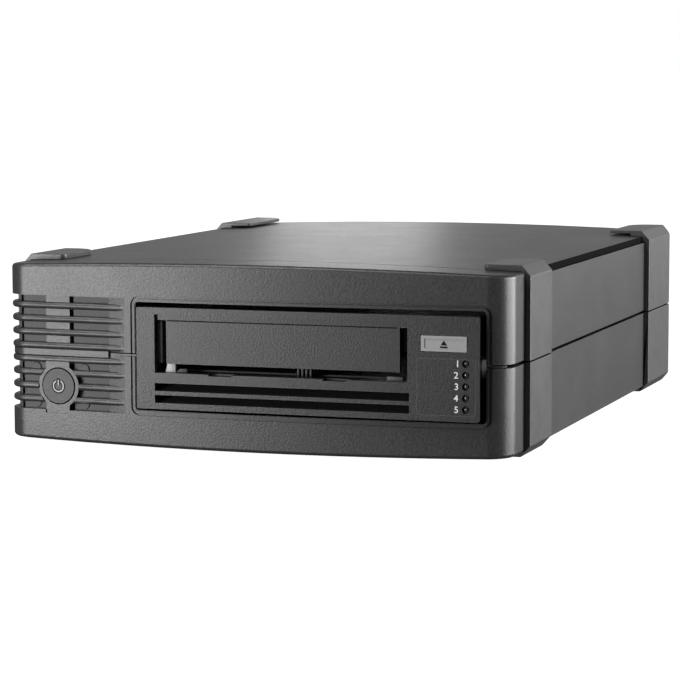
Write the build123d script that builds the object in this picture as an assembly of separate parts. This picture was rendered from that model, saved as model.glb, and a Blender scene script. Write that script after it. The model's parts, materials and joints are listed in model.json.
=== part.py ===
from build123d import *

# A desktop cartridge tape drive: a half-height drive in a two-part case with corner guards.
# Millimetres. X to the right, Y to the rear, Z up; the origin is under the middle, on the table.

import math
import os

# Case
LENGTH = 304.4
WIDTH = 227.9
HEIGHT = 79.5
SEAM = 40.0
WALL = 2.5
PANEL_CLEARANCE = 3.3
TAB_THICKNESS = 2.9
ROOF_CROWN = 2.3
GUARD_PROUD = 2.45
SEAM_GAP = 0.5
PANEL_SEAM_GAP = 1.3
CHANNEL_WIDTH = 1.4
CHANNEL_HEIGHT = 2.85
TONGUE = 1.8
SCREW_POST = 3.2
POST_BITE = 0.5
TONGUE_REACH = 3.0
FIT = 0.2
REAR_RECESS = 2.5

# Front bezel, measured back from the face of the drive
CREST = 1.65
BOW = 4.5
BEZEL_DROP = 0.65
BASE_CROWN = 1.7
CROWN_SPILL = 0.5
CORNER_RADIUS = 10.5
EDGE_RADIUS = 1.6
BEZEL_DEPTH = 27.8
BEZEL_GAP = 1.0
LIP_WIDTH = 1.3
LIP_PROUD = 0.35
LIP_STEP = 0.3
GROOVE_WIDTH = 1.0
GROOVE_DEPTH = 0.7
FRONT_SEAM = 1.5
BEAD = 0.5
BEAD_SETBACK = 0.35
BEAD_GROOVE = 1.0
BEAD_REACH = 4.0

# Corner guards
FRONT_GUARD = 35.3
REAR_GUARD = 50.5
GUARD_BEVEL_IN = 4.0
GUARD_BEVEL_UP = 4.5
TAB_REACH = 16.0
TAB_FRONT_ROUND = 2.0
TAB_REAR_ROUND = 10.0
FLANGE = 9.5
PAD_RADIUS = 5.5
PAD_PROUD = 0.5

# Vent grille on the left
SLOT_PITCH = 5.72
SLOT_HEIGHT = 2.9
SLOT_COUNT = 9
GRILLE_LEVEL = -0.55
SLOT_END = -62.6
RAMP_END = -54.7
SLOT_WRAP = 19.0
POST_LEFT = -92.4
POST_RIGHT = -81.2
RIB_RECESS = 1.6
RIB_ROUND = 1.2
RIB_DEPTH = 2.2
SEAM_SLOT_RECESS = 0.5
PART_GAP = 0.3
BACKING_GAP = 0.3
BACKING = 1.2

# Power button
POWER_X = -86.3
POWER_LEVEL = -14.7
POWER_RADIUS = 7.4
POWER_GAP = 0.55
RING_RADIUS = 9.5
RING_RECESS = 0.5
POWER_TRAVEL = 1.2
POWER_DEPTH = 4.5
SWITCH_BOARD = 27.0

# Drive
DRIVE_X = 26.15
DRIVE_LEVEL = -0.75
DRIVE_FACE_WIDTH = 148.5
DRIVE_FACE_HEIGHT = 42.5
DRIVE_WIDTH = 146.0
DRIVE_DEPTH = 205.0
FACE_DEPTH = 9.0
FACE_WALL = 1.4
SHEET = 1.5
OPENING_SIDE = 1.5
OPENING_TOP = 1.9
OPENING_BOTTOM = 1.2
PLATE = 1.6

# Cartridge and its bay
CARTRIDGE_WIDTH = 105.4
CARTRIDGE_DEPTH = 102.0
CARTRIDGE_HEIGHT = 21.5
CARTRIDGE_X = 15.2
CARTRIDGE_LEVEL = -5.5
SLOT_WIDTH = 110.4
SLOT_BOTTOM = -6.8
SLOT_TOP = 17.7
DOOR_WIDTH = SLOT_WIDTH - 8.4
DOOR_BOTTOM = -3.0
DOOR_THICKNESS = 1.7
DOOR_SETBACK = 1.6
DOOR_STRIP = 1.7
PIN_RADIUS = 0.7
PIN_FIT = 0.06
NOTCH_WIDTH = 10.1
NOTCH_DEPTH = 0.7
NOTCH_OFFSET = 25.1
LOAD_TRAVEL = 18.0
SEAT_DROP = 6.0

# Eject button and lights
EJECT_X = 85.65
EJECT_LEVEL = 9.4
EJECT_WIDTH = 19.2
EJECT_HEIGHT = 6.3
EJECT_TRAVEL = 0.8
LIGHT_X = 94.95
LIGHT_TOP = 1.6
LIGHT_PITCH = 4.65
LIGHT_COUNT = 5
LIGHT_RADIUS = 1.05
LIGHT_WELL = 1.6

# Vent slots of the drive
LOUVRE_LEFT = -40.0
LOUVRE_RIGHT = 71.15
LOUVRE_TOP = -11.1
LOUVRE_HEIGHT = 3.3
LOUVRE_PITCH = 5.0

# Fan and rear panel
FAN_CLEARANCE = 8.3
FAN_DEPTH = 15.0
FAN_X = 62.0
PANEL_SHEET = 1.2
PANEL_SETBACK = 5.0
INLET_X = -78.0
INLET_WIDTH = 27.0
INLET_HEIGHT = 19.8
INLET_DEPTH = 20.0
INLET_FLANGE = 50.0
INLET_SCREW_PITCH = 40.0
PORT_X = -20.0
PORT_PITCH = 22.0
PORT_WIDTH = 15.0
PORT_HEIGHT = 10.0
PORT_DEPTH = 24.0
PORT_LEVEL = -20.0

# Reels, rollers and head
REEL_DRIVER_RADIUS = 17.0
TAKE_UP_RADIUS = 38.0
TAKE_UP_X = 6.0
TAKE_UP_Y = 161.0
ROLLER_RADIUS = 4.5
ROLLER_FLANGE = 6.0
POST_RADIUS = 1.5
SHAFT_FIT = 0.05
HEAD_X = 80.0
HEAD_Y = 151.0
HEAD_TRAVEL = 2.5

# Rack and pinion of the loader
MODULE = 1.25
PINION_TEETH = 12
BACKLASH = 0.5

# Worked-out places
FRONT = -LENGTH / 2
REAR = LENGTH / 2
PANEL_X = WIDTH / 2 - GUARD_PROUD
TOP = HEIGHT - TAB_THICKNESS
BACK_OF_BEZEL = FRONT + BEZEL_DEPTH
SHELL_FRONT = BACK_OF_BEZEL + BEZEL_GAP
SHELL_REAR = REAR - REAR_RECESS
FLOOR = PANEL_CLEARANCE + WALL
PANEL_Y = REAR - PANEL_SETBACK - PANEL_SHEET
FAN_SIZE = TOP - WALL - FLOOR - FAN_CLEARANCE
FAN_SCREW_PITCH = FAN_SIZE * 5 / 6
DRIVE_LEFT = DRIVE_X - DRIVE_FACE_WIDTH / 2
DRIVE_RIGHT = DRIVE_X + DRIVE_FACE_WIDTH / 2
DRIVE_BOTTOM = SEAM + DRIVE_LEVEL - DRIVE_FACE_HEIGHT / 2
DRIVE_TOP = SEAM + DRIVE_LEVEL + DRIVE_FACE_HEIGHT / 2
CHASSIS_LEFT = DRIVE_X - DRIVE_WIDTH / 2
CHASSIS_RIGHT = DRIVE_X + DRIVE_WIDTH / 2
CHASSIS_FRONT = FRONT + FACE_DEPTH
CHASSIS_REAR = FRONT + DRIVE_DEPTH
CHASSIS_FLOOR = DRIVE_BOTTOM + 2.0
DECK = CHASSIS_FLOOR + SHEET
LID = DRIVE_TOP - 1.1
OPENING_LEFT = DRIVE_LEFT - OPENING_SIDE
OPENING_RIGHT = DRIVE_RIGHT + OPENING_SIDE
OPENING_LOW = DRIVE_BOTTOM - OPENING_BOTTOM
OPENING_HIGH = DRIVE_TOP + OPENING_TOP
POWER_Z = SEAM + POWER_LEVEL
GRILLE_HALF = ((SLOT_COUNT - 1) * SLOT_PITCH + SLOT_HEIGHT) / 2
GRILLE_LOW = SEAM + GRILLE_LEVEL - GRILLE_HALF
GRILLE_HIGH = SEAM + GRILLE_LEVEL + GRILLE_HALF
SEAM_SLOT_LOW = SEAM + GRILLE_LEVEL - SLOT_HEIGHT / 2
SWITCH_BOARD_Y = FRONT + SWITCH_BOARD
BORE_RADIUS = POWER_RADIUS + POWER_GAP
HINGE_Y = FRONT + DOOR_SETBACK + DOOR_THICKNESS / 2
HINGE_Z = SEAM + SLOT_TOP - 0.7
CRADLE_FRONT = FRONT + 12.0
CRADLE_LENGTH = 84.0
CRADLE_FLOOR = SEAM + CARTRIDGE_LEVEL - 0.9
CRADLE_SHEET = 1.0
CRADLE_HALF = CARTRIDGE_WIDTH / 2 + 0.6
SLIDER_GAP = 0.5
REEL_Y = CRADLE_FRONT + LOAD_TRAVEL + CARTRIDGE_DEPTH / 2
TAKE_UP_CENTRE = FRONT + TAKE_UP_Y
HEAD_CENTRE = FRONT + HEAD_Y

# Boards, loader, reels and rollers
PSU_LEFT = 8.5 - PANEL_X
PSU_RIGHT = -55.0
PSU_FRONT = FRONT + 62
PSU_REAR = FRONT + 262
BOARD_Z = FLOOR + 7.0
BOARD = 1.6
INTERFACE_LEFT = -48.0
INTERFACE_RIGHT = 22.0
INTERFACE_FRONT = FRONT + 232
RACK_Z = (SEAM + 0.5, SEAM + 4.0)
PINION_Y = CRADLE_FRONT + 58.0
SLIDER_INNER = CRADLE_HALF + CRADLE_SHEET + SLIDER_GAP
SLIDER_PLATE = 1.5
SLIDER_RIGHT = CARTRIDGE_X + SLIDER_INNER + SLIDER_PLATE
SLIDER_LEFT = CARTRIDGE_X - SLIDER_INNER - SLIDER_PLATE
RACK_ROOT = SLIDER_RIGHT + 0.4
PITCH_LINE = RACK_ROOT + 1.25 * MODULE
PINION_RADIUS = MODULE * PINION_TEETH / 2
PINION_X = PITCH_LINE + PINION_RADIUS
REEL_MOTOR_TOP = DECK + 3.4
ROLLER_BOTTOM = DECK + 5.0
ROLLER_HEIGHT = 15.0


def block(x, y, z):
    """A box from its low and high values along each axis."""
    size = (x[1] - x[0], y[1] - y[0], z[1] - z[0])
    return Pos(sum(x) / 2, sum(y) / 2, sum(z) / 2) * Box(*size)


def rod_x(x, y, z, radius):
    """A round bar along X."""
    return Pos(sum(x) / 2, y, z) * Rot(0, 90, 0) * Cylinder(radius, x[1] - x[0])


def rod_y(x, y, z, radius):
    """A round bar along Y."""
    return Pos(x, sum(y) / 2, z) * Rot(90, 0, 0) * Cylinder(radius, y[1] - y[0])


def rod_z(x, y, z, radius):
    """A round bar along Z."""
    return Pos(x, y, sum(z) / 2) * Cylinder(radius, z[1] - z[0])


def slab_y(points, y):
    """An outline in X and Z, drawn out along Y."""
    outline = Polyline(*[(px, y[0], pz) for px, pz in points], close=True)
    return extrude(make_face(outline), amount=y[1] - y[0], dir=(0, 1, 0))


def slab_z(points, z):
    """An outline in X and Y, drawn out along Z."""
    outline = Polyline(*[(px, py, z[0]) for px, py in points], close=True)
    return extrude(make_face(outline), amount=z[1] - z[0], dir=(0, 0, 1))


def slab_x(points, x):
    """An outline in Y and Z, drawn out along X."""
    outline = Polyline(*[(x[0], py, pz) for py, pz in points], close=True)
    return extrude(make_face(outline), amount=x[1] - x[0], dir=(1, 0, 0))


def rounded_y(x, y, z, radius):
    """A block whose four edges along Y are rounded."""
    plane = Plane((sum(x) / 2, y[1], sum(z) / 2), x_dir=(1, 0, 0), z_dir=(0, -1, 0))
    face = plane * RectangleRounded(x[1] - x[0], z[1] - z[0], radius)
    return extrude(face, amount=y[1] - y[0])


def rounded_z(x, y, z, radius):
    """A block whose four edges along Z are rounded."""
    plane = Plane((sum(x) / 2, sum(y) / 2, z[0]))
    face = plane * RectangleRounded(x[1] - x[0], y[1] - y[0], radius)
    return extrude(face, amount=z[1] - z[0])


def crowned_section(inset, y, half_width, bottom_crown):
    """The crowned section of the case, drawn out along Y."""
    x = half_width - inset
    top = TOP - inset
    bottom = PANEL_CLEARANCE + inset
    roof = ThreePointArc((-x, y[0], top), (0, y[0], top + ROOF_CROWN), (x, y[0], top))
    if bottom_crown:
        bottom -= BEZEL_DROP
        base = ThreePointArc((x, y[0], bottom), (0, y[0], bottom - BASE_CROWN), (-x, y[0], bottom))
    else:
        base = Line((x, y[0], bottom), (-x, y[0], bottom))
    right = Line((x, y[0], top), (x, y[0], bottom))
    left = Line((-x, y[0], bottom), (-x, y[0], top))
    face = make_face([roof, right, base, left])
    return extrude(face, amount=y[1] - y[0], dir=(0, 1, 0))


def bowed_slab(inset, back, height):
    """The bezel's plan, bowed in front with rounded corners, drawn up from the table."""
    x = PANEL_X - inset
    crest = FRONT + CREST + inset
    front = ThreePointArc((-x, crest + BOW, 0), (0, crest, 0), (x, crest + BOW, 0))
    right = Line((x, crest + BOW, 0), (x, back, 0))
    rear = Line((x, back, 0), (-x, back, 0))
    left = Line((-x, back, 0), (-x, crest + BOW, 0))
    body = extrude(make_face([front, right, rear, left]), amount=height, dir=(0, 0, 1))
    corners = [e for e in body.edges().filter_by(Axis.Z) if e.center().Y < crest + BOW + 1]
    return fillet(corners, CORNER_RADIUS - inset)


def round_rims(body, back, radius):
    """Rounds the upper and lower edges of a bowed body, all but the ones at its back."""
    rims = [e for e in body.edges() if abs(e.tangent_at(0.5).Z) < 0.5 and e.center().Y < back - 0.1]
    return fillet(rims, radius)


def bezel_form(inset, back=BACK_OF_BEZEL, edge=0.0):
    """The bowed body of the front bezel, made smaller by an inset on every side."""
    body = bowed_slab(inset, back, HEIGHT + ROOF_CROWN)
    body &= crowned_section(inset, (FRONT + CREST + inset - 1, back), PANEL_X + CROWN_SPILL, True)
    if edge:
        body = round_rims(body, back, edge)
    return body


def case_form(y):
    """The outer form of the case between the bezel and the rear, with the channels along its top edges."""
    body = crowned_section(0, y, PANEL_X, False)
    for side in (-1, 1):
        x = sorted((side * (PANEL_X - CHANNEL_WIDTH), side * (PANEL_X + 1)))
        body -= block(x, y, (TOP - CHANNEL_HEIGHT, TOP + 1))
    return body


def above(gap):
    """Everything above the seam, less half of its gap."""
    return block((-WIDTH, WIDTH), (FRONT - 5, REAR + 5), (SEAM + gap / 2, HEIGHT + 5))


def below(gap):
    """Everything below the seam, less half of its gap."""
    return block((-WIDTH, WIDTH), (FRONT - 5, REAR + 5), (-5, SEAM - gap / 2))


def shell_body():
    """Both halves of the case as one wall, with the ribs that hold the rear panel."""
    y = (SHELL_FRONT, SHELL_REAR)
    inner = (SHELL_FRONT - 1, SHELL_REAR + 1)
    body = case_form(y) - crowned_section(WALL, inner, PANEL_X, False)
    rib = (PANEL_Y - 2.0, PANEL_Y)
    ring = crowned_section(WALL - 0.5, rib, PANEL_X, False)
    return body + (ring - crowned_section(WALL + 4.0, (rib[0] - 1, rib[1] + 1), PANEL_X, False))


def upper_shell():
    """The lid half of the case."""
    return shell_body() & above(PANEL_SEAM_GAP)


def lower_shell():
    """The base, with a tongue inside the seam, board bosses and screw bosses."""
    body = shell_body() & below(PANEL_SEAM_GAP)
    inner = PANEL_X - WALL
    for sign in (-1, 1):
        x = sorted((sign * (inner - FIT - TONGUE), sign * (inner - FIT)))
        y = (SHELL_FRONT + 20, PANEL_Y - 22)
        body += block(x, y, (SEAM - 6, SEAM + TONGUE_REACH))
        hold = sorted((sign * (inner - FIT - TONGUE), sign * (inner + 1)))
        body += block(hold, y, (SEAM - 6, SEAM - 3))
    for x, y in board_posts():
        body += rod_z(x, y, (FLOOR - 0.5, BOARD_Z), 3.0)
    return body


def board_posts():
    """Where the two boards stand on the base."""
    inset = 5.0
    for x in (PSU_LEFT + inset, PSU_RIGHT - inset):
        for y in (PSU_FRONT + inset, PSU_REAR - inset):
            yield x, y
    for x in (INTERFACE_LEFT + inset, INTERFACE_RIGHT - inset):
        yield x, INTERFACE_FRONT + inset
        yield x, PANEL_Y - 30


def slot_levels():
    """The heights of the vent slots, from the top."""
    middle = (SLOT_COUNT - 1) / 2
    for index in range(SLOT_COUNT):
        yield index, SEAM + GRILLE_LEVEL + (middle - index) * SLOT_PITCH


def ring_plate(y):
    """The flat strip and disc that the power button stands in."""
    strip = block((POST_LEFT, POST_RIGHT), y, (GRILLE_LOW - 1.4, POWER_Z + RING_RADIUS + 1))
    return strip + rod_y(POWER_X, y, POWER_Z, RING_RADIUS)


def front_at(x):
    """How far back the bowed front lies at a place across it."""
    return FRONT + CREST + BOW * (x / PANEL_X) ** 2


def vent_rib():
    """One rounded bar of the grille, standing on the table."""
    body = bowed_slab(0, BACK_OF_BEZEL, SLOT_PITCH - SLOT_HEIGHT)
    body = round_rims(body, BACK_OF_BEZEL, RIB_ROUND)
    return body & block((-WIDTH, RAMP_END), (FRONT, FRONT + SLOT_WRAP), (-1, SLOT_PITCH))


def vent_recess():
    """The cutter of the grille's floor, with the ramp that brings it up to the front on the right."""
    z = (GRILLE_LOW, GRILLE_HIGH)
    floor = block((-WIDTH, SLOT_END), (FRONT - 1, FRONT + SLOT_WRAP), z) - bezel_form(RIB_RECESS)
    ramp = [
        (SLOT_END - 0.1, FRONT - 1),
        (RAMP_END, FRONT - 1),
        (RAMP_END, front_at(RAMP_END)),
        (SLOT_END, front_at(SLOT_END) + RIB_RECESS),
        (SLOT_END - 0.1, front_at(SLOT_END) + RIB_RECESS),
    ]
    return floor + slab_z(ramp, z)


def grille(body):
    """Cuts the grille's floor and cells, sets the ribs on it and makes the power button's ring."""
    plate = ring_plate((FRONT - 2, FRONT + SLOT_WRAP + 1))
    body -= vent_recess() - plate
    rib = vent_rib()
    for index, level in slot_levels():
        if index < SLOT_COUNT - 1:
            bar = Pos(0, 0, level - SLOT_PITCH + SLOT_HEIGHT / 2) * rib
            body += bar - bezel_form(RIB_DEPTH) - plate
    y = (FRONT - 1, FRONT + SLOT_WRAP)
    for index, level in slot_levels():
        z = (level - SLOT_HEIGHT / 2, level + SLOT_HEIGHT / 2)
        if index == SLOT_COUNT // 2:
            body += block((-WIDTH, SLOT_END), y, z) & (bezel_form(SEAM_SLOT_RECESS) - bezel_form(RIB_DEPTH))
        else:
            cell = block((-WIDTH, POST_LEFT), y, z) + block((POST_RIGHT, SLOT_END), y, z)
            body -= cell - plate
    body -= ring_plate((FRONT - 3, FRONT + 18)) - bezel_form(RING_RECESS)
    sleeve = rod_y(POWER_X, (FRONT + 5, FRONT + 16), POWER_Z, BORE_RADIUS + 1.4)
    for x, z in switch_posts():
        sleeve += rod_y(x, (FRONT + 5, SWITCH_BOARD_Y), z, 2.0)
    body += sleeve & bezel_form(WALL - 0.2)
    body -= rod_y(POWER_X, (FRONT - 2, FRONT + 20), POWER_Z, BORE_RADIUS)
    return body


def opening(grow, y, radius=1.5):
    """The drive's opening, made larger on every side."""
    x = (OPENING_LEFT - grow, OPENING_RIGHT + grow)
    return rounded_y(x, y, (OPENING_LOW - grow, OPENING_HIGH + grow), radius + grow)


def front_bezel():
    """Both halves of the front bezel as one moulding, with the lip and groove around the drive."""
    body = bezel_form(0, edge=EDGE_RADIUS)
    y_front = (FRONT - 2, FRONT + 18)
    moat = opening(LIP_WIDTH + GROOVE_WIDTH, y_front) - opening(LIP_WIDTH, (FRONT - 3, FRONT + 19))
    body -= moat - bezel_form(GROOVE_DEPTH)
    lip = opening(LIP_WIDTH - LIP_STEP, y_front) - opening(LIP_STEP, (FRONT - 3, FRONT + 19))
    body += lip & (bezel_form(-LIP_PROUD) - bezel_form(WALL))
    body -= bezel_form(WALL, back=BACK_OF_BEZEL + 1)
    root = (BACK_OF_BEZEL - 6, BACK_OF_BEZEL - 2)
    body += bezel_form(WALL - FIT) & block((-WIDTH, WIDTH), root, (0, HEIGHT + ROOF_CROWN))
    body += crowned_section(WALL + FIT, (root[0], BACK_OF_BEZEL + 8), PANEL_X, False)
    body -= crowned_section(WALL + FIT + TONGUE, (root[0] - 1, BACK_OF_BEZEL + 9), PANEL_X, False)
    return grille(body - opening(0, (FRONT - 5, FRONT + 25)))


def front_bezels():
    """The bezel's halves: the upper reaches down past the slot at the seam, the lower has the bead."""
    body = front_bezel()
    y = (FRONT - 5, FRONT + SLOT_WRAP)
    step = block((-WIDTH, SLOT_END), y, (SEAM_SLOT_LOW, SEAM + FRONT_SEAM))
    upper = body & (above(FRONT_SEAM) + (step & block((-WIDTH, 0), y, (SEAM_SLOT_LOW + PART_GAP, HEIGHT))))
    lower = body & (below(FRONT_SEAM) - step)
    z = (SEAM - FRONT_SEAM / 2, SEAM + BEAD / 2)
    front = (FRONT - 1, front_at(PANEL_X) + BEAD_REACH)
    bead = body & bezel_form(BEAD_SETBACK) & block((SLOT_END + PART_GAP, WIDTH), front, z)
    groove = block((-WIDTH, WIDTH), front, (z[0], SEAM - BEAD / 2)) - bezel_form(BEAD_SETBACK + BEAD_GROOVE)
    return upper, lower + (bead - groove)


def vent_backing():
    """The plate behind the ribs, with narrow slits that let air in."""
    low = GRILLE_LOW - 1.4
    high = GRILLE_HIGH + 1.4
    depth = WALL + BACKING_GAP
    body = bezel_form(depth) - bezel_form(depth + BACKING)
    body &= block((-WIDTH, SLOT_END + 2), (FRONT, FRONT + SLOT_WRAP + 2), (low, high))
    for x in (POST_RIGHT + 0.7, POST_LEFT - 12.4):
        body -= block((x - 0.7, x + 0.7), (FRONT, FRONT + 22), (low + 1, high - 1))
    body -= rod_y(POWER_X, (FRONT, FRONT + 25), POWER_Z, BORE_RADIUS + 1.4 + FIT)
    for x, z in switch_posts():
        body -= rod_y(x, (FRONT, FRONT + 25), z, 2.0 + FIT)
    return body


def switch_posts():
    """The bezel's posts that carry the backing and the switch board."""
    for dx in (-11.5, 11.5):
        for dz in (-7.5, 7.5):
            yield POWER_X + dx, POWER_Z + dz


def guard(side, upper, front):
    """A corner guard: a band up the side, a bevel and a tab, from the mid seam outwards."""
    length = FRONT_GUARD if front else REAR_GUARD
    y = (SHELL_FRONT, SHELL_FRONT + length) if front else (REAR - length, REAR)
    edge = WIDTH / 2
    inner = edge - GUARD_BEVEL_IN - TAB_REACH - 1
    if upper:
        near = SEAM + SEAM_GAP / 2
        far = HEIGHT
        bevel = far - GUARD_BEVEL_UP
        span = (SEAM, HEIGHT + 1)
    else:
        near = SEAM - SEAM_GAP / 2
        far = PAD_PROUD
        bevel = far + GUARD_BEVEL_UP
        span = (-1, SEAM)
    outline = [(inner, near), (edge, near), (edge, bevel), (edge - GUARD_BEVEL_IN, far), (inner, far)]
    body = slab_y(outline, y)
    if not front:
        corner = [e for e in body.edges().filter_by(Axis.Z) if e.center().X > edge - 1 and e.center().Y > y[1] - 1]
        body = fillet(corner, 3.0)
    body -= case_form((y[0] - 1, SHELL_REAR))
    reach = SHELL_REAR - 1 if front else y[0]
    hollow = (SEAM - 5, bevel + 3) if upper else (bevel - 3, SEAM + 5)
    body -= block((inner - 1, edge - FLANGE), (reach, REAR + 1), hollow)
    body -= tab_cut(edge, y, far)
    if side < 0:
        body = mirror(body, about=Plane.YZ)
    return body & block((-WIDTH, WIDTH), (FRONT, REAR), span)


def tab_cut(edge, y, far):
    """What is taken away around the inner end of a tab: its rear corner is well rounded."""
    bevel = edge - GUARD_BEVEL_IN
    tip = bevel - TAB_REACH
    z = (far - GUARD_BEVEL_UP * 2, far + GUARD_BEVEL_UP * 2)
    tab = block((tip, bevel + 1), y, z)
    ends = [e for e in tab.edges().filter_by(Axis.Z) if e.center().X < tip + 0.1]
    front = [e for e in ends if e.center().Y < sum(y) / 2]
    tab = fillet(front, TAB_FRONT_ROUND)
    ends = [e for e in tab.edges().filter_by(Axis.Z) if e.center().X < tip + 0.1]
    rear = [e for e in ends if e.center().Y > y[1] - 0.1]
    tab = fillet(rear, TAB_REAR_ROUND)
    return block((tip - TAB_REACH, bevel), (y[0] - 1, y[1] + 1), z) - tab


def pad_places():
    """The centres of the rubber pads under the feet."""
    for sign in (-1, 1):
        x = sign * (WIDTH / 2 - GUARD_BEVEL_IN - PAD_RADIUS - 1.5)
        yield x, SHELL_FRONT + FRONT_GUARD / 2
        yield x, REAR - REAR_GUARD / 2


def foot_pads():
    """Four rubber pads set in the feet."""
    return [rod_z(x, y, (0, PAD_PROUD + 0.9), PAD_RADIUS) for x, y in pad_places()]


def pad_pocket(body):
    """The feet with the round pockets that the pads sit in."""
    for x, y in pad_places():
        body -= rod_z(x, y, (-1, PAD_PROUD + 0.9), PAD_RADIUS)
    return body


def power_button():
    """A round button whose face follows the bow, on a stem that reaches the switch."""
    y = (FRONT - 1, FRONT + CREST + BOW + POWER_DEPTH)
    body = rod_y(POWER_X, y, POWER_Z, POWER_RADIUS) & bezel_form(RING_RECESS - 0.3)
    body += rod_y(POWER_X, (y[1] - 0.5, FRONT + 21.5), POWER_Z, 2.5)
    return body


def power_switch_board():
    """The small board behind the power button, with its switch."""
    y = SWITCH_BOARD_Y
    board = block((POWER_X - 14, POWER_X + 14), (y, y + BOARD), (POWER_Z - 10, POWER_Z + 10))
    switch = block((POWER_X - 3.5, POWER_X + 3.5), (y - 3.8, y), (POWER_Z - 3.5, POWER_Z + 3.5))
    plunger = rod_y(POWER_X, (FRONT + 21.5 + POWER_TRAVEL + 0.1, y - 3.8), POWER_Z, 1.6)
    return board + switch + plunger


def fan_hole_rings():
    """The guard rings of the fan opening, as cutters between spokes."""
    x = FAN_X
    z = SEAM
    y = (PANEL_Y - 1, PANEL_Y + PANEL_SHEET + 1)
    cutters = []
    for outer in (27.0, 21.0, 15.0):
        ring = rod_y(x, y, z, outer) - rod_y(x, (y[0] - 1, y[1] + 1), z, outer - 4.2)
        cutters.append(ring)
    spokes = [Pos(x, 0, z) * Rot(0, angle, 0) * block((-30, 30), y, (-1.2, 1.2)) for angle in (45, -45)]
    for spoke in spokes:
        cutters = [c - spoke for c in cutters]
    return cutters


def rear_panel():
    """The sheet panel between the shells, with the fan guard, the inlet and the ports."""
    y = (PANEL_Y, PANEL_Y + PANEL_SHEET)
    body = crowned_section(WALL + 0.3, y, PANEL_X, False)
    for cutter in fan_hole_rings():
        body -= cutter
    for dx in (-1, 1):
        for dz in (-1, 1):
            body -= rod_y(
                FAN_X + dx * FAN_SCREW_PITCH / 2, (y[0] - 1, y[1] + 1), SEAM + dz * FAN_SCREW_PITCH / 2, 2.15
            )
    body -= block(
        (INLET_X - INLET_WIDTH / 2, INLET_X + INLET_WIDTH / 2),
        (y[0] - 1, y[1] + 1),
        (SEAM - INLET_HEIGHT / 2, SEAM + INLET_HEIGHT / 2),
    )
    for sign in (-1, 1):
        body -= rod_y(INLET_X + sign * INLET_SCREW_PITCH / 2, (y[0] - 1, y[1] + 1), SEAM, 1.75)
    for x in port_places():
        body -= block(
            (x - PORT_WIDTH / 2 - 0.1, x + PORT_WIDTH / 2 + 0.1),
            (y[0] - 1, y[1] + 1),
            (SEAM + PORT_LEVEL - PORT_HEIGHT / 2 - 0.1, SEAM + PORT_LEVEL + PORT_HEIGHT / 2 + 0.1),
        )
    for row in range(5):
        z = SEAM + 4 + row * 6
        body -= rounded_y((-45, 20), (y[0] - 1, y[1] + 1), (z, z + 2.4), 1.1)
    return body


def port_places():
    """Where the two data ports stand across the rear panel."""
    return (PORT_X - PORT_PITCH / 2, PORT_X + PORT_PITCH / 2)


def data_ports():
    """Two external data connectors: folded cages, open to the rear."""
    ports = []
    for x in port_places():
        y = (PANEL_Y - PORT_DEPTH + 3, PANEL_Y + PANEL_SHEET + 2)
        z = (SEAM + PORT_LEVEL - PORT_HEIGHT / 2, SEAM + PORT_LEVEL + PORT_HEIGHT / 2)
        body = rounded_y((x - PORT_WIDTH / 2, x + PORT_WIDTH / 2), y, z, 0.6)
        mouth = (x - PORT_WIDTH / 2 + 1.2, x + PORT_WIDTH / 2 - 1.2)
        body -= block(mouth, (y[0] + 6, y[1] + 1), (z[0] + 1.4, z[1] - 1.4))
        legs_z = (BOARD_Z + BOARD, z[0])
        if legs_z[1] > legs_z[0]:
            body += block((x - PORT_WIDTH / 2, x + PORT_WIDTH / 2), (y[0], PANEL_Y - 1), legs_z)
        ports.append(body)
    return ports


def interface_board():
    """The board behind the drive that carries the data ports."""
    z = (BOARD_Z, BOARD_Z + BOARD)
    y = (INTERFACE_FRONT, PANEL_Y - 1.5)
    body = block((INTERFACE_LEFT, INTERFACE_RIGHT), y, z)
    chip = block((INTERFACE_LEFT + 26, INTERFACE_LEFT + 44), (y[0] + 22, y[0] + 40), (z[1], z[1] + 2.2))
    header = block((INTERFACE_LEFT + 8, INTERFACE_LEFT + 38), (y[0] + 3, y[0] + 9), (z[1], z[1] + 8.5))
    return body + chip + header


def mains_inlet():
    """The mains inlet: flange, body and socket."""
    flange_y = (PANEL_Y + PANEL_SHEET, PANEL_Y + PANEL_SHEET + 3)
    half = (INLET_WIDTH - 0.2) / 2
    tall = (INLET_HEIGHT - 0.2) / 2
    body = rounded_y(
        (INLET_X - INLET_FLANGE / 2, INLET_X + INLET_FLANGE / 2), flange_y, (SEAM - 11.5, SEAM + 11.5), 3.0
    )
    depth = (flange_y[1] - INLET_DEPTH, flange_y[0])
    body += block((INLET_X - half, INLET_X + half), depth, (SEAM - tall, SEAM + tall))
    socket = (flange_y[1] - 16.5, flange_y[1] + 1)
    body -= slab_y(
        [
            (INLET_X - 11.8, SEAM - 7.9),
            (INLET_X + 11.8, SEAM - 7.9),
            (INLET_X + 11.8, SEAM + 3.4),
            (INLET_X + 7.3, SEAM + 7.9),
            (INLET_X - 7.3, SEAM + 7.9),
            (INLET_X - 11.8, SEAM + 3.4),
        ],
        socket,
    )
    for sign in (-1, 1):
        body -= rod_y(INLET_X + sign * INLET_SCREW_PITCH / 2, (flange_y[0] - 1, flange_y[1] + 1), SEAM, 1.75)
    for pin in mains_pins():
        body -= pin
    return body


def mains_pins():
    """The three blades of the mains inlet, with their tails behind it."""
    tip = PANEL_Y + PANEL_SHEET + 3 - 5.0
    tail = PANEL_Y + PANEL_SHEET + 3 - INLET_DEPTH - 6
    pins = []
    for dx, dz in ((-7, -1.5), (7, -1.5), (0, 2.5)):
        pins.append(block((INLET_X + dx - 1, INLET_X + dx + 1), (tail, tip), (SEAM + dz - 2, SEAM + dz + 2)))
    return pins


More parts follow.
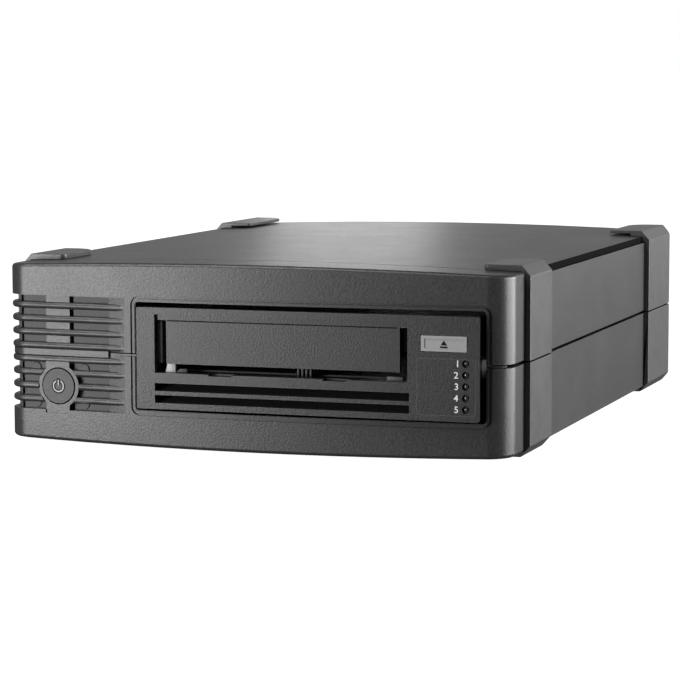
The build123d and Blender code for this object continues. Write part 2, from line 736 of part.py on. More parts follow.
def fan_frame():
    """The fan's square frame with its duct, hub plate and struts."""
    y = (PANEL_Y - FAN_DEPTH, PANEL_Y)
    half = FAN_SIZE / 2
    body = rounded_y((FAN_X - half, FAN_X + half), y, (SEAM - half, SEAM + half), 4.0)
    body -= rod_y(FAN_X, (y[0] - 1, y[1] + 1), SEAM, half - 1.5)
    hub = rod_y(FAN_X, (y[0], y[0] + 1.6), SEAM, 12.0)
    hub += rod_y(FAN_X, (y[0] + 1.6, y[0] + 9), SEAM, 2.5)
    for angle in (30, 150, 270):
        strut = block((8, half - 1), (y[0], y[0] + 1.6), (-1.5, 1.5))
        hub += Pos(FAN_X, 0, SEAM) * Rot(0, angle, 0) * strut
    body += hub
    for dx in (-1, 1):
        for dz in (-1, 1):
            x = FAN_X + dx * FAN_SCREW_PITCH / 2
            body -= rod_y(x, (y[0] - 1, y[1] + 1), SEAM + dz * FAN_SCREW_PITCH / 2, 1.75)
    return body


def fan_rotor():
    """Seven swept blades on a cup that turns on the frame's post."""
    y = (PANEL_Y - FAN_DEPTH + 2.2, PANEL_Y - 1.5)
    radius = FAN_SIZE / 2 - 1.5 - 1.0
    hub = rod_y(FAN_X, y, SEAM, 12.0)
    hub -= rod_y(FAN_X, (y[0] - 1, PANEL_Y - FAN_DEPTH + 9.5), SEAM, 2.5 + SHAFT_FIT)
    ring = rod_y(FAN_X, (y[0] - 1, y[1] + 1), SEAM, radius)
    for index in range(7):
        blade = block((10, radius + 2), (-0.7, 0.7), (-5.6, 5.6))
        blade = Rot(38, 0, 0) * blade
        blade = Pos(FAN_X, sum(y) / 2, SEAM) * Rot(0, index * 360 / 7, 0) * blade
        hub += blade & ring
    return hub


def screw_y(x, y, z, head_radius, shank_radius, length, head=1.8):
    """A screw along Y, its head to the rear at y."""
    body = rod_y(x, (y, y + head), z, head_radius)
    body += rod_y(x, (y - length, y), z, shank_radius)
    return body


def fan_screws():
    """Four screws that hold the fan to the rear panel."""
    y = PANEL_Y + PANEL_SHEET
    screws = []
    for dx in (-1, 1):
        for dz in (-1, 1):
            x = FAN_X + dx * FAN_SCREW_PITCH / 2
            screws.append(screw_y(x, y, SEAM + dz * FAN_SCREW_PITCH / 2, 3.2, 1.7, 9.0))
    return screws


def inlet_screws():
    """The two screws of the mains inlet."""
    y = PANEL_Y + PANEL_SHEET + 3
    return [screw_y(INLET_X + sign * INLET_SCREW_PITCH / 2, y, SEAM, 2.6, 1.6, 7.0, 0.8) for sign in (-1, 1)]


def psu_board():
    """The power supply's board with its small parts."""
    body = block((PSU_LEFT, PSU_RIGHT), (PSU_FRONT, PSU_REAR), (BOARD_Z, BOARD_Z + BOARD))
    top = BOARD_Z + BOARD
    body += rounded_z((PSU_LEFT + 6, PSU_LEFT + 18), (PSU_REAR - 24, PSU_REAR - 8), (top, top + 14), 1.0)
    body += block((PSU_RIGHT - 16, PSU_RIGHT - 4), (PSU_FRONT + 14, PSU_FRONT + 36), (top, top + 9))
    return body


def psu_transformer():
    """The ferrite transformer: core, coil former and winding."""
    x = (PSU_LEFT + PSU_RIGHT) / 2
    y = PSU_FRONT + 84
    base = BOARD_Z + BOARD
    core = block((x - 18, x + 18), (y - 7, y + 7), (base + 2, base + 32))
    core -= block((x - 12, x - 5), (y - 8, y + 8), (base + 8, base + 26))
    core -= block((x + 5, x + 12), (y - 8, y + 8), (base + 8, base + 26))
    former = rounded_z((x - 11.6, x + 11.6), (y - 13, y + 13), (base + 8.4, base + 25.6), 3.0)
    former -= block((x - 5, x + 5), (y - 7, y + 7), (base, base + 40))
    foot = block((x - 14, x + 14), (y - 14, y + 14), (base, base + 2))
    return core + former + foot


def psu_capacitors():
    """The large reservoir capacitor and four small ones."""
    top = BOARD_Z + BOARD
    x = (PSU_LEFT + PSU_RIGHT) / 2
    cans = [rod_z(x - 8, PSU_FRONT + 136, (top, top + 34), 11.0)]
    for index in range(4):
        cans.append(rod_z(PSU_LEFT + 8 + index * 11, PSU_FRONT + 52, (top, top + 20), 4.5))
    return cans


def psu_heatsinks():
    """Two finned plates beside the transformer."""
    sinks = []
    base = BOARD_Z + BOARD
    for y in (PSU_FRONT + 108, PSU_FRONT + 164):
        body = block((PSU_LEFT + 6, PSU_RIGHT - 6), (y, y + 2), (base, base + 30))
        for index in range(7):
            x = PSU_LEFT + 8 + index * 5.2
            body += block((x, x + 1.4), (y + 1, y + 8), (base + 4, base + 30))
        sinks.append(body)
    return sinks


def drive_bracket(side):
    """A folded bracket between the base and the side of the drive."""
    x = CHASSIS_LEFT if side < 0 else CHASSIS_RIGHT
    sheet = 1.6
    y = (FRONT + 60, FRONT + 190)
    wall_x = sorted((x, x + side * sheet))
    top = DECK + 9
    body = block(wall_x, y, (FLOOR, top))
    reach = 10 if side > 0 else 6
    if side > 0:
        reach = min(reach, PANEL_X - WALL - CHANNEL_WIDTH - x - sheet - 4)
    foot = sorted((x, x + side * (sheet + reach)))
    body += block(foot, y, (FLOOR, FLOOR + sheet))
    for hole in (FRONT + 75, FRONT + 165):
        body -= rod_x((x - 5, x + 5), hole, DECK + 4, 1.8)
    return body


def drive_screws():
    """Four screws through the brackets into the drive's sides."""
    screws = []
    for side in (-1, 1):
        x = CHASSIS_LEFT if side < 0 else CHASSIS_RIGHT
        outer = x + side * 1.6
        for y in (FRONT + 75, FRONT + 165):
            shank = rod_x(sorted((outer, x - side * 1.4)), y, DECK + 4, 1.6)
            head = rod_x(sorted((outer, outer + side * 1.8)), y, DECK + 4, 3.0)
            screws.append(shank + head)
    return screws


def drive_bezel():
    """The drive's flat face: cartridge slot, louvres, wells for the lights and the eject opening."""
    x = (DRIVE_LEFT, DRIVE_RIGHT)
    y = (FRONT, FRONT + FACE_DEPTH)
    z = (DRIVE_BOTTOM, DRIVE_TOP)
    body = rounded_y(x, (y[0], y[0] + PLATE), z, 0.8)
    wall = FACE_WALL
    body += block((CHASSIS_LEFT, CHASSIS_RIGHT), (y[0] + PLATE - 0.1, y[1]), z)
    inner = (CHASSIS_LEFT + wall, CHASSIS_RIGHT - wall)
    body -= block(inner, (y[0] + wall, y[1] + 1), (z[0] + wall, z[1] - wall))
    slot = (CARTRIDGE_X - SLOT_WIDTH / 2, CARTRIDGE_X + SLOT_WIDTH / 2)
    throat_wall = 1.2
    throat = (slot[0] - throat_wall, slot[1] + throat_wall)
    body += block(throat, (y[0] + wall - 0.1, y[1]), (SEAM + SLOT_BOTTOM - throat_wall, SEAM + 6))
    body -= block(slot, (y[0] - 1, y[1] + 1), (SEAM + SLOT_BOTTOM, SEAM + SLOT_TOP))
    for sign in (-1, 1):
        centre = CARTRIDGE_X - 1.0 + sign * NOTCH_OFFSET
        notch = (centre - NOTCH_WIDTH / 2, centre + NOTCH_WIDTH / 2)
        body -= block(notch, (y[0] - 1, y[0] + 4), (SEAM + SLOT_BOTTOM - NOTCH_DEPTH, SEAM))
    for index in range(2):
        top = SEAM + LOUVRE_TOP - index * LOUVRE_PITCH
        floor = slab_x(
            [(y[0], top - LOUVRE_HEIGHT - 1.0), (y[0] + 7, top - LOUVRE_HEIGHT - 1.0), (y[0] + 7, top - 1.2)],
            (LOUVRE_LEFT, LOUVRE_RIGHT),
        )
        body -= block((LOUVRE_LEFT, LOUVRE_RIGHT), (y[0] - 1, y[0] + wall + 0.1), (top - LOUVRE_HEIGHT, top))
        span = (LOUVRE_LEFT - 1, LOUVRE_RIGHT + 1)
        body += floor & block(span, (y[0] + 0.2, y[1]), (top - LOUVRE_HEIGHT - 0.9, top))
    eject = eject_span()
    body -= block((eject[0] - 0.3, eject[1] + 0.3), (y[0] - 1, y[0] + 3), (eject[2] - 0.3, eject[3] + 0.3))
    for level in light_levels():
        body += rod_y(LIGHT_X, (y[0] + 0.5, y[0] + 4.5), level, LIGHT_WELL + 0.7)
        body -= rod_y(LIGHT_X, (y[0] - 1, y[0] + 1.1), level, LIGHT_WELL)
        body -= rod_y(LIGHT_X, (y[0] - 1, y[0] + 5), level, LIGHT_RADIUS + SHAFT_FIT)
    ear = (HINGE_Z - 2.2, z[1] - wall + 0.1)
    for edge, side in ((slot[0], -1), (slot[1], 1)):
        ear_x = sorted((edge + side * 0.1, edge + side * 3.0))
        body += block(ear_x, (y[0] + wall - 0.1, y[0] + 6), ear)
        body -= rod_x((ear_x[0] - 1, ear_x[1] + 1), HINGE_Y, HINGE_Z, PIN_RADIUS + PIN_FIT)
    return body


def eject_span():
    """The edges of the eject button: left, right, bottom, top."""
    z = SEAM + EJECT_LEVEL
    return (EJECT_X - EJECT_WIDTH / 2, EJECT_X + EJECT_WIDTH / 2, z - EJECT_HEIGHT / 2, z + EJECT_HEIGHT / 2)


def light_levels():
    """The heights of the status lights, from the top."""
    for index in range(LIGHT_COUNT):
        yield SEAM + LIGHT_TOP - index * LIGHT_PITCH


def cartridge_door():
    """The flap that hangs from its pin and swings in and up as a cartridge goes in."""
    y = (FRONT + DOOR_SETBACK, FRONT + DOOR_SETBACK + DOOR_THICKNESS)
    half = DOOR_WIDTH / 2
    wide = SLOT_WIDTH / 2 - 0.5
    centre = CARTRIDGE_X + 0.5
    top = HINGE_Z + 0.5
    strip = (top - DOOR_STRIP - 0.6, top)
    body = block((centre - half, centre + half), y, (SEAM + DOOR_BOTTOM, top))
    body += block((CARTRIDGE_X - wide, CARTRIDGE_X + wide), y, strip)
    body += rod_x((CARTRIDGE_X - wide, CARTRIDGE_X + wide), HINGE_Y, HINGE_Z, DOOR_THICKNESS / 2 + 0.35)
    body &= block((-WIDTH, WIDTH), (y[0], REAR), (0, HEIGHT))
    body -= rod_x((CARTRIDGE_X - wide - 1, CARTRIDGE_X + wide + 1), HINGE_Y, HINGE_Z, PIN_RADIUS + PIN_FIT)
    return body


def door_pin():
    """The steel pin of the door."""
    reach = SLOT_WIDTH / 2 + 2.9
    return rod_x((CARTRIDGE_X - reach, CARTRIDGE_X + reach), HINGE_Y, HINGE_Z, PIN_RADIUS)


def eject_button():
    """The light grey eject key with its raised rim."""
    left, right, low, high = eject_span()
    body = block((left, right), (FRONT - 0.0, FRONT + 4.0), (low, high))
    body -= block((left + 1.5, right - 1.5), (FRONT - 1, FRONT + 0.35), (low + 1.2, high - 1.2))
    rim = (FRONT + FACE_WALL + 0.3, FRONT + FACE_WALL + 1.3)
    body += block((left - 0.8, right + 0.8), rim, (low - 0.8, high + 0.8))
    body += rod_y(EJECT_X, (FRONT + 4.0, FRONT + 9.5), SEAM + EJECT_LEVEL, 1.5)
    return body


def led_lenses():
    """The clear light pipes, from their wells to the front board."""
    return [rod_y(LIGHT_X, (FRONT + 0.5, FRONT + 11.0), level, LIGHT_RADIUS) for level in light_levels()]


def front_board():
    """The board behind the face: five lamps and the eject switch."""
    x = (EJECT_X - 12, DRIVE_RIGHT - 3.5)
    z = (DECK, SEAM + EJECT_LEVEL + 6)
    y = (FRONT + 12.3, FRONT + 12.3 + BOARD)
    body = block(x, y, z)
    for level in light_levels():
        body += block((LIGHT_X - 1.2, LIGHT_X + 1.2), (FRONT + 11.3, y[0]), (level - 1.0, level + 1.0))
    switch = (FRONT + 9.5 + EJECT_TRAVEL + 0.1, y[0])
    body += block((EJECT_X - 3, EJECT_X + 3), switch, (SEAM + EJECT_LEVEL - 3, SEAM + EJECT_LEVEL + 3))
    return body


def drive_chassis():
    """The drive's tray: deck, side walls, rear wall and the tabs that hold the face and front board."""
    x = (CHASSIS_LEFT, CHASSIS_RIGHT)
    y = (CHASSIS_FRONT, CHASSIS_REAR)
    body = block(x, y, (CHASSIS_FLOOR, DECK))
    for side in (0, 1):
        wall = (x[0], x[0] + SHEET) if side == 0 else (x[1] - SHEET, x[1])
        body += block(wall, y, (CHASSIS_FLOOR, LID - 0.6))
        for hole in (FRONT + 75, FRONT + 165):
            body -= rod_x((wall[0] - 1, wall[1] + 1), hole, DECK + 4, 1.6)
    body += block(x, (y[1] - SHEET, y[1]), (CHASSIS_FLOOR, DECK + 24))
    body += block((x[1] - SHEET - 8, x[1] - SHEET + 0.1), (FRONT + 12.3 + BOARD, FRONT + 15.4), (DECK, DECK + 30))
    body -= block((CARTRIDGE_X - 50, CARTRIDGE_X + 50), (y[0] - 1, y[0] + 3), (CHASSIS_FLOOR - 1, DECK + 1))
    return body


def drive_top_cover():
    """The drive's sheet lid, folded down outside the side walls."""
    x = (CHASSIS_LEFT + SHEET, CHASSIS_RIGHT - SHEET)
    y = (CHASSIS_FRONT, CHASSIS_REAR)
    sheet = 1.0
    body = block((CHASSIS_LEFT, CHASSIS_RIGHT), y, (LID - 0.6, LID - 0.6 + sheet))
    for side in (0, 1):
        flange = (x[0], x[0] + 0.8) if side == 0 else (x[1] - 0.8, x[1])
        body += block(flange, (y[0] + 20, y[1] - 4), (LID - 6, LID))
    for index in range(4):
        centre = CHASSIS_LEFT + 30 + index * 28
        body -= rounded_z((centre - 8, centre + 8), (y[1] - 70, y[1] - 66), (LID - 5, LID + 5), 1.5)
    return body


def logic_board():
    """The drive's board under the deck, at its rear."""
    z = (DRIVE_BOTTOM - 1.2, DRIVE_BOTTOM + 0.4)
    body = block((CHASSIS_LEFT + 4, CHASSIS_RIGHT - 4), (FRONT + 100, CHASSIS_REAR), z)
    stand = CHASSIS_FLOOR
    for sx in (CHASSIS_LEFT + 10, CHASSIS_RIGHT - 10):
        for sy in (FRONT + 106, CHASSIS_REAR - 8):
            body += rod_z(sx, sy, (z[1], stand), 2.5)
    body += block((CARTRIDGE_X - 14, CARTRIDGE_X + 14), (FRONT + 130, FRONT + 158), (z[0] - 2, z[0]))
    body += block((CHASSIS_LEFT + 20, CHASSIS_LEFT + 50), (CHASSIS_REAR - 8, CHASSIS_REAR + 3), (z[0] - 5, z[0]))
    return body


def cartridge_cradle():
    """The tray that holds the cartridge, open below for the reel driver."""
    x = (CARTRIDGE_X - CRADLE_HALF - CRADLE_SHEET, CARTRIDGE_X + CRADLE_HALF + CRADLE_SHEET)
    y = (CRADLE_FRONT, CRADLE_FRONT + CRADLE_LENGTH)
    floor = (CRADLE_FLOOR - CRADLE_SHEET, CRADLE_FLOOR)
    body = block(x, y, floor)
    for side in (0, 1):
        wall = (x[0], x[0] + CRADLE_SHEET) if side == 0 else (x[1] - CRADLE_SHEET, x[1])
        body += block(wall, y, (floor[0], SEAM + CARTRIDGE_LEVEL + CARTRIDGE_HEIGHT * 0.62))
    hole = REEL_DRIVER_RADIUS + 2.5
    middle = (REEL_Y - LOAD_TRAVEL, REEL_Y)
    across = (CARTRIDGE_X - hole, CARTRIDGE_X + hole)
    along = (middle[0] - hole, middle[1] + hole)
    body -= rounded_z(across, along, (floor[0] - 1, floor[1] + 1), hole - 0.1)
    return body


def loader_slider():
    """The frame that carries the cradle to and fro, with the rack on its right."""
    y = (CRADLE_FRONT, CRADLE_FRONT + CRADLE_LENGTH)
    z = (DECK + 1.5, SEAM + CARTRIDGE_LEVEL + CARTRIDGE_HEIGHT * 0.45)
    body = block((SLIDER_LEFT, SLIDER_LEFT + SLIDER_PLATE), y, z)
    body += block((SLIDER_RIGHT - SLIDER_PLATE, SLIDER_RIGHT), y, z)
    low = (z[0], CRADLE_FLOOR - CRADLE_SHEET - SEAT_DROP - 0.5)
    body += block((SLIDER_LEFT, SLIDER_RIGHT), (y[0] + 2, y[0] + 8), low)
    return body + rack()


def rack():
    """The rack's teeth along the outer face of the slider, a gap of the rack facing the pinion at rest."""
    pitch = math.pi * MODULE
    tip = PITCH_LINE + MODULE
    half_pitch = pitch / 4 - BACKLASH / 4
    lean = math.tan(math.radians(20))
    half_root = half_pitch + (PITCH_LINE - RACK_ROOT) * lean
    half_tip = half_pitch - MODULE * lean
    behind = int((LOAD_TRAVEL + 3 * pitch) / pitch)
    y = (PINION_Y - (behind + 0.5) * pitch, PINION_Y + 3.5 * pitch)
    body = block((SLIDER_RIGHT - 0.2, RACK_ROOT), y, RACK_Z)
    for index in range(behind + 3):
        centre = y[0] + (index + 0.5) * pitch + pitch / 2
        outline = [
            (RACK_ROOT - 0.1, centre - half_root),
            (tip, centre - half_tip),
            (tip, centre + half_tip),
            (RACK_ROOT - 0.1, centre + half_root),
        ]
        body += slab_z(outline, RACK_Z)
    return body


def loader_pinion():
    """The loader's pinion on its motor shaft, one tooth in the rack's gap at rest."""
    pitch = math.pi * MODULE
    root = PINION_RADIUS - 1.25 * MODULE
    tip = PINION_RADIUS + MODULE
    body = rod_z(PINION_X, PINION_Y, RACK_Z, root + 0.1)
    half_pitch = pitch / 4 - BACKLASH / 4
    outline = [
        (root - 0.5, half_pitch * 1.45),
        (PINION_RADIUS - 0.3 * MODULE, half_pitch * 1.12),
        (PINION_RADIUS, half_pitch),
        (PINION_RADIUS + 0.5 * MODULE, half_pitch * 0.72),
        (tip, half_pitch * 0.36),
    ]
    outline = outline + [(x, -y) for x, y in reversed(outline)]
    tooth = slab_z(outline, RACK_Z)
    for index in range(PINION_TEETH):
        turn = 180 + index * 360 / PINION_TEETH
        body += Pos(PINION_X, PINION_Y, 0) * Rot(0, 0, turn) * tooth
    body += rod_z(PINION_X, PINION_Y, (RACK_Z[0] - 1.0, RACK_Z[0]), root + 0.1)
    return body - rod_z(PINION_X, PINION_Y, (RACK_Z[0] - 2, RACK_Z[1] + 1), 1.0 + SHAFT_FIT)


def loader_motor():
    """The loader's motor on the deck, its shaft through the pinion."""
    body = rod_z(PINION_X, PINION_Y, (DECK, RACK_Z[0] - 3.5), 7.0)
    return body + rod_z(PINION_X, PINION_Y, (RACK_Z[0] - 3.6, RACK_Z[1] + 1.0), 1.0)


def bay_guides():
    """The two rails that the slider runs along."""
    y = (CHASSIS_FRONT + 6, CRADLE_FRONT + CRADLE_LENGTH + LOAD_TRAVEL + 4)
    z = (DECK, SEAM - 1.0)
    left = (CHASSIS_LEFT + SHEET, SLIDER_LEFT - 0.3)
    right = (SLIDER_RIGHT + 0.3, SLIDER_RIGHT + 1.8)
    rails = [block(left, y, z), block(right, y, z)]
    ledge = (DECK, DECK + 1.2)
    rails[0] += block((left[1] - 0.1, left[1] + 2.5), (y[0], PINION_Y - 40), ledge)
    rails[1] += block((right[0] - 2.5, right[0] + 0.1), (y[0], PINION_Y - 40), ledge)
    rails[1] += block((right[1] - 0.1, right[1] + 6), (y[0] + 8, y[0] + 20), (DECK, DECK + 2))
    return rails


def reel_driver():
    """The toothed disc that turns the cartridge's reel from below."""
    top = CRADLE_FLOOR - CRADLE_SHEET - SEAT_DROP + 0.4
    bottom = REEL_MOTOR_TOP + 0.5
    body = rod_z(CARTRIDGE_X, REEL_Y, (bottom, top - 1.0), REEL_DRIVER_RADIUS)
    ring = rod_z(CARTRIDGE_X, REEL_Y, (bottom, top), REEL_DRIVER_RADIUS - 0.5)
    ring -= rod_z(CARTRIDGE_X, REEL_Y, (bottom - 1, top + 1), REEL_DRIVER_RADIUS - 4)
    for index in range(18):
        gap = block((REEL_DRIVER_RADIUS - 5, REEL_DRIVER_RADIUS + 1), (-0.9, 0.9), (top - 1.0, top + 1))
        ring -= Pos(CARTRIDGE_X, REEL_Y, 0) * Rot(0, 0, index * 20) * gap
    body += ring
    return body - rod_z(CARTRIDGE_X, REEL_Y, (bottom - 1, top + 1), 2.0 + SHAFT_FIT)


def reel_motor():
    """The flat motor under the cartridge, with the shaft that the driver turns on."""
    body = rod_z(CARTRIDGE_X, REEL_Y, (DECK, REEL_MOTOR_TOP), 20.0)
    top = CRADLE_FLOOR - CRADLE_SHEET - SEAT_DROP + 0.4
    return body + rod_z(CARTRIDGE_X, REEL_Y, (REEL_MOTOR_TOP - 0.5, top - 0.3), 2.0)


def take_up_reel():
    """The fixed reel that winds the tape: hub, two flanges and the slot for the tape's end."""
    bottom = REEL_MOTOR_TOP + 0.8
    body = rod_z(TAKE_UP_X, TAKE_UP_CENTRE, (bottom, bottom + 1.2), TAKE_UP_RADIUS)
    body += rod_z(TAKE_UP_X, TAKE_UP_CENTRE, (bottom, bottom + 16.0), 22.0)
    body += rod_z(TAKE_UP_X, TAKE_UP_CENTRE, (bottom + 14.4, bottom + 15.6), TAKE_UP_RADIUS)
    for index in range(6):
        window = rod_z(13, 0, (bottom + 2, bottom + 20), 4.0)
        body -= Pos(TAKE_UP_X, TAKE_UP_CENTRE, 0) * Rot(0, 0, index * 60) * window
    notch = (TAKE_UP_X + 18, TAKE_UP_X + 23)
    body -= block(notch, (TAKE_UP_CENTRE - 2, TAKE_UP_CENTRE + 2), (bottom + 1.2, bottom + 14.4))
    return body - rod_z(TAKE_UP_X, TAKE_UP_CENTRE, (bottom - 1, bottom + 20), 2.5 + SHAFT_FIT)


def take_up_motor():
    """The flat motor under the take-up reel."""
    body = rod_z(TAKE_UP_X, TAKE_UP_CENTRE, (DECK, REEL_MOTOR_TOP), 20.0)
    return body + rod_z(TAKE_UP_X, TAKE_UP_CENTRE, (REEL_MOTOR_TOP - 0.5, REEL_MOTOR_TOP + 15.0), 2.5)


def roller_places():
    """The four guide rollers on both sides of the head."""
    return (
        (HEAD_X - 24, HEAD_CENTRE - 29),
        (HEAD_X - 9, HEAD_CENTRE - 17),
        (HEAD_X - 9, HEAD_CENTRE + 17),
        (HEAD_X - 24, HEAD_CENTRE + 29),
    )


def guide_posts():
    """The four fixed posts of the rollers, each on a foot."""
    posts = []
    for x, y in roller_places():
        post = rod_z(x, y, (DECK, ROLLER_BOTTOM - 0.3), 4.0)
        posts.append(post + rod_z(x, y, (DECK, ROLLER_BOTTOM + ROLLER_HEIGHT + 1), POST_RADIUS))
    return posts


def guide_roller(index):
    """One flanged guide roller."""
    x, y = roller_places()[index]
    z = (ROLLER_BOTTOM, ROLLER_BOTTOM + ROLLER_HEIGHT)
    body = rod_z(x, y, z, ROLLER_RADIUS)
    body += rod_z(x, y, (z[0], z[0] + 1), ROLLER_FLANGE)
    body += rod_z(x, y, (z[1] - 1, z[1]), ROLLER_FLANGE)
    return body - rod_z(x, y, (z[0] - 1, z[1] + 1), POST_RADIUS + SHAFT_FIT)


def head_carriage():
    """The head on its carriage, which steps up and down across the tape."""
    z = (ROLLER_BOTTOM + 0.5, ROLLER_BOTTOM + 13.5)
    middle = (z[0] + z[1]) / 2
    body = block((HEAD_X, HEAD_X + 9), (HEAD_CENTRE - 12, HEAD_CENTRE + 12), (middle - 4.5, middle + 4.5))
    nose = rod_z(HEAD_X, HEAD_CENTRE, (middle - 6, middle + 6), 4.0)
    nose &= block((HEAD_X - 5, HEAD_X + 0.1), (HEAD_CENTRE - 5, HEAD_CENTRE + 5), (z[0] - 2, z[1] + 2))
    body += nose
    for dy in (-9, 9):
        body -= rod_z(HEAD_X + 4.5, HEAD_CENTRE + dy, (z[0] - 5, z[1] + 5), 1.25 + SHAFT_FIT)
    return body - rod_z(HEAD_X + 4.5, HEAD_CENTRE, (z[0] - 5, z[1] + 5), 1.6)


def head_base():
    """The head's base plate with its two rods, the screw and the stepper motor."""
    top = ROLLER_BOTTOM + ROLLER_HEIGHT + 3
    body = block((HEAD_X - 1, HEAD_X + 14), (HEAD_CENTRE - 14, HEAD_CENTRE + 14), (DECK, DECK + 2))
    for dy in (-9, 9):
        body += rod_z(HEAD_X + 4.5, HEAD_CENTRE + dy, (DECK, top), 1.25)
    body += rod_z(HEAD_X + 4.5, HEAD_CENTRE, (DECK, top), 1.2)
    body += block((HEAD_X + 1, HEAD_X + 14), (HEAD_CENTRE - 12, HEAD_CENTRE + 12), (top - 0.1, top + 1.4))
    return body + block((HEAD_X + 12, HEAD_X + 14), (HEAD_CENTRE - 12, HEAD_CENTRE + 12), (DECK, top + 1.4))


def head_stepper():
    """The head's stepper motor on top of its bridge."""
    top = ROLLER_BOTTOM + ROLLER_HEIGHT + 4.4
    return rod_z(HEAD_X + 7, HEAD_CENTRE, (top, top + 6.5), 6.0)


def cable(points, radius):
    """A round cable along straight runs joined by arcs as large as they allow."""
    vectors = [Vector(*p) for p in points]
    radii = []
    for before, corner, after in zip(vectors, vectors[1:], vectors[2:]):
        first = corner - before
        second = after - corner
        turn = math.radians(first.get_angle(second))
        radii.append(0.45 * min(first.length, second.length) / math.tan(turn / 2))
    path = FilletPolyline(*points, radius=radii)
    plane = Plane(path @ 0, z_dir=path % 0)
    return sweep(plane * Circle(radius), path=path)


def power_harness():
    """The lead from the power supply to the drive's rear."""
    top = BOARD_Z + BOARD
    start = (PSU_RIGHT - 10, PSU_REAR - 20, top + 6)
    plug = block((start[0] - 5, start[0] + 5), (start[1] - 3, start[1] + 3), (top, top + 6))
    end_y = CHASSIS_REAR + 3
    end = (CHASSIS_LEFT + 28, end_y + 6, DRIVE_BOTTOM - 3.5)
    socket = block((end[0] - 7, end[0] + 7), (end_y + 0.2, end_y + 6), (end[2] - 2.5, end[2] + 2.5))
    points = [
        start,
        (start[0], start[1], start[2] + 12),
        (start[0] + 14, start[1] + 4, start[2] + 20),
        (end[0] - 8, end_y + 26, start[2] + 14),
        (end[0] - 2, end_y + 24, end[2] + 4),
        end,
    ]
    return [plug + cable(points, 1.8) + socket]


def data_cable():
    """The round data lead from the interface board to the drive's rear."""
    top = BOARD_Z + BOARD + 8.5
    start = (INTERFACE_LEFT + 32, INTERFACE_FRONT + 6, top)
    end_y = CHASSIS_REAR
    end = (CARTRIDGE_X + 24, end_y, SEAM - 6)
    points = [
        start,
        (start[0], start[1], top + 12),
        (start[0] + 14, start[1] - 8, top + 20),
        (end[0] - 5, end_y + 24, end[2] + 4),
        (end[0], end_y + 10, end[2]),
        end,
    ]
    return cable(points, 2.2)


def case_screws():
    """Four screws from below through the base into the posts of the upper shell."""
    screws = []
    for x, y in screw_places():
        shank = rod_z(x, y, (PANEL_CLEARANCE + 1.0, TOP - WALL - 4), 1.5)
        screws.append(shank + rod_z(x, y, (PANEL_CLEARANCE + 0.2, FLOOR - 0.9), 2.7))
    return screws


def screw_places():
    """The case screws, clear of the drive and the boards."""
    for side in (-1, 1):
        x = side * (PANEL_X - WALL - SCREW_POST + POST_BITE)
        yield x, SHELL_FRONT + 12
        yield x, PANEL_Y - 14


def shells():
    """Both shells, with the screw posts that meet at the seam."""
    upper = upper_shell()
    lower = lower_shell()
    for x, y in screw_places():
        upper += rod_z(x, y, (SEAM + FIT, TOP - WALL + 0.5), SCREW_POST)
        lower += rod_z(x, y, (FLOOR - 0.5, SEAM), SCREW_POST)
        upper -= rod_z(x, y, (SEAM - 1, TOP - WALL - 4), 1.5)
        lower -= rod_z(x, y, (0, SEAM + 1), 1.7)
        lower -= rod_z(x, y, (0, FLOOR - 0.9), 2.9)
    return upper, lower


def build():
    """Every piece by the name of its node."""
    upper, lower = shells()
    bezel_upper, bezel_lower = front_bezels()
    parts = {
        "upper_shell": upper,
        "lower_shell": lower,
        "front_bezel_upper": bezel_upper,
        "front_bezel_lower": bezel_lower,
        "vent_backing": vent_backing(),
        "foot_pads": foot_pads(),
        "power_button": power_button(),
        "power_switch_board": power_switch_board(),
        "rear_panel": rear_panel(),
        "data_ports": data_ports(),
        "interface_board": interface_board(),
        "mains_inlet": mains_inlet(),
        "mains_pins": mains_pins(),
        "panel_screws": inlet_screws() + fan_screws(),
        "fan_frame": fan_frame(),
        "fan_rotor": fan_rotor(),
        "psu_board": psu_board(),
        "psu_transformer": psu_transformer(),
        "psu_capacitors": psu_capacitors(),
        "psu_heatsinks": psu_heatsinks(),
        "drive_bracket_left": drive_bracket(-1),
        "drive_bracket_right": drive_bracket(1),
        "drive_screws": drive_screws(),
        "case_screws": case_screws(),
        "power_harness": power_harness(),
        "data_cable": data_cable(),
        "drive_bezel": drive_bezel(),
        "cartridge_door": cartridge_door(),
        "door_pin": door_pin(),
        "eject_button": eject_button(),
        "led_lenses": led_lenses(),
        "front_board": front_board(),
        "drive_chassis": drive_chassis(),
        "drive_top_cover": drive_top_cover(),
        "logic_board": logic_board(),
        "cartridge_cradle": cartridge_cradle(),
        "loader_slider": loader_slider(),
        "loader_pinion": loader_pinion(),
        "loader_motor": loader_motor(),
        "bay_guides": bay_guides(),
        "reel_driver": reel_driver(),
        "reel_motors": [reel_motor(), take_up_motor()],
        "take_up_reel": take_up_reel(),
        "guide_posts": guide_posts(),
        "head_carriage": head_carriage(),
        "head_base": head_base(),
        "head_stepper": head_stepper(),
    }
    for index in range(4):
        parts[f"guide_roller_{index + 1}"] = guide_roller(index)
    for level, upper_half in (("upper", True), ("lower", False)):
        for end, front in (("front", True), ("rear", False)):
            for side, sign in (("left", -1), ("right", 1)):
                body = guard(sign, upper_half, front)
                if not upper_half:
                    body = pad_pocket(body)
                parts[f"guard_{level}_{end}_{side}"] = body
    return parts


def main():
    """Writes one STEP file for each node."""
    os.makedirs("parts", exist_ok=True)
    for name, solids in build().items():
        if isinstance(solids, list):
            solids = Compound(children=solids)
        export_step(solids, f"parts/{name}.step")


if __name__ == "__main__":
    main()
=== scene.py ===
"""Looks for a desktop cartridge tape drive: finishes, dressed pieces, marks and a plain studio stage."""

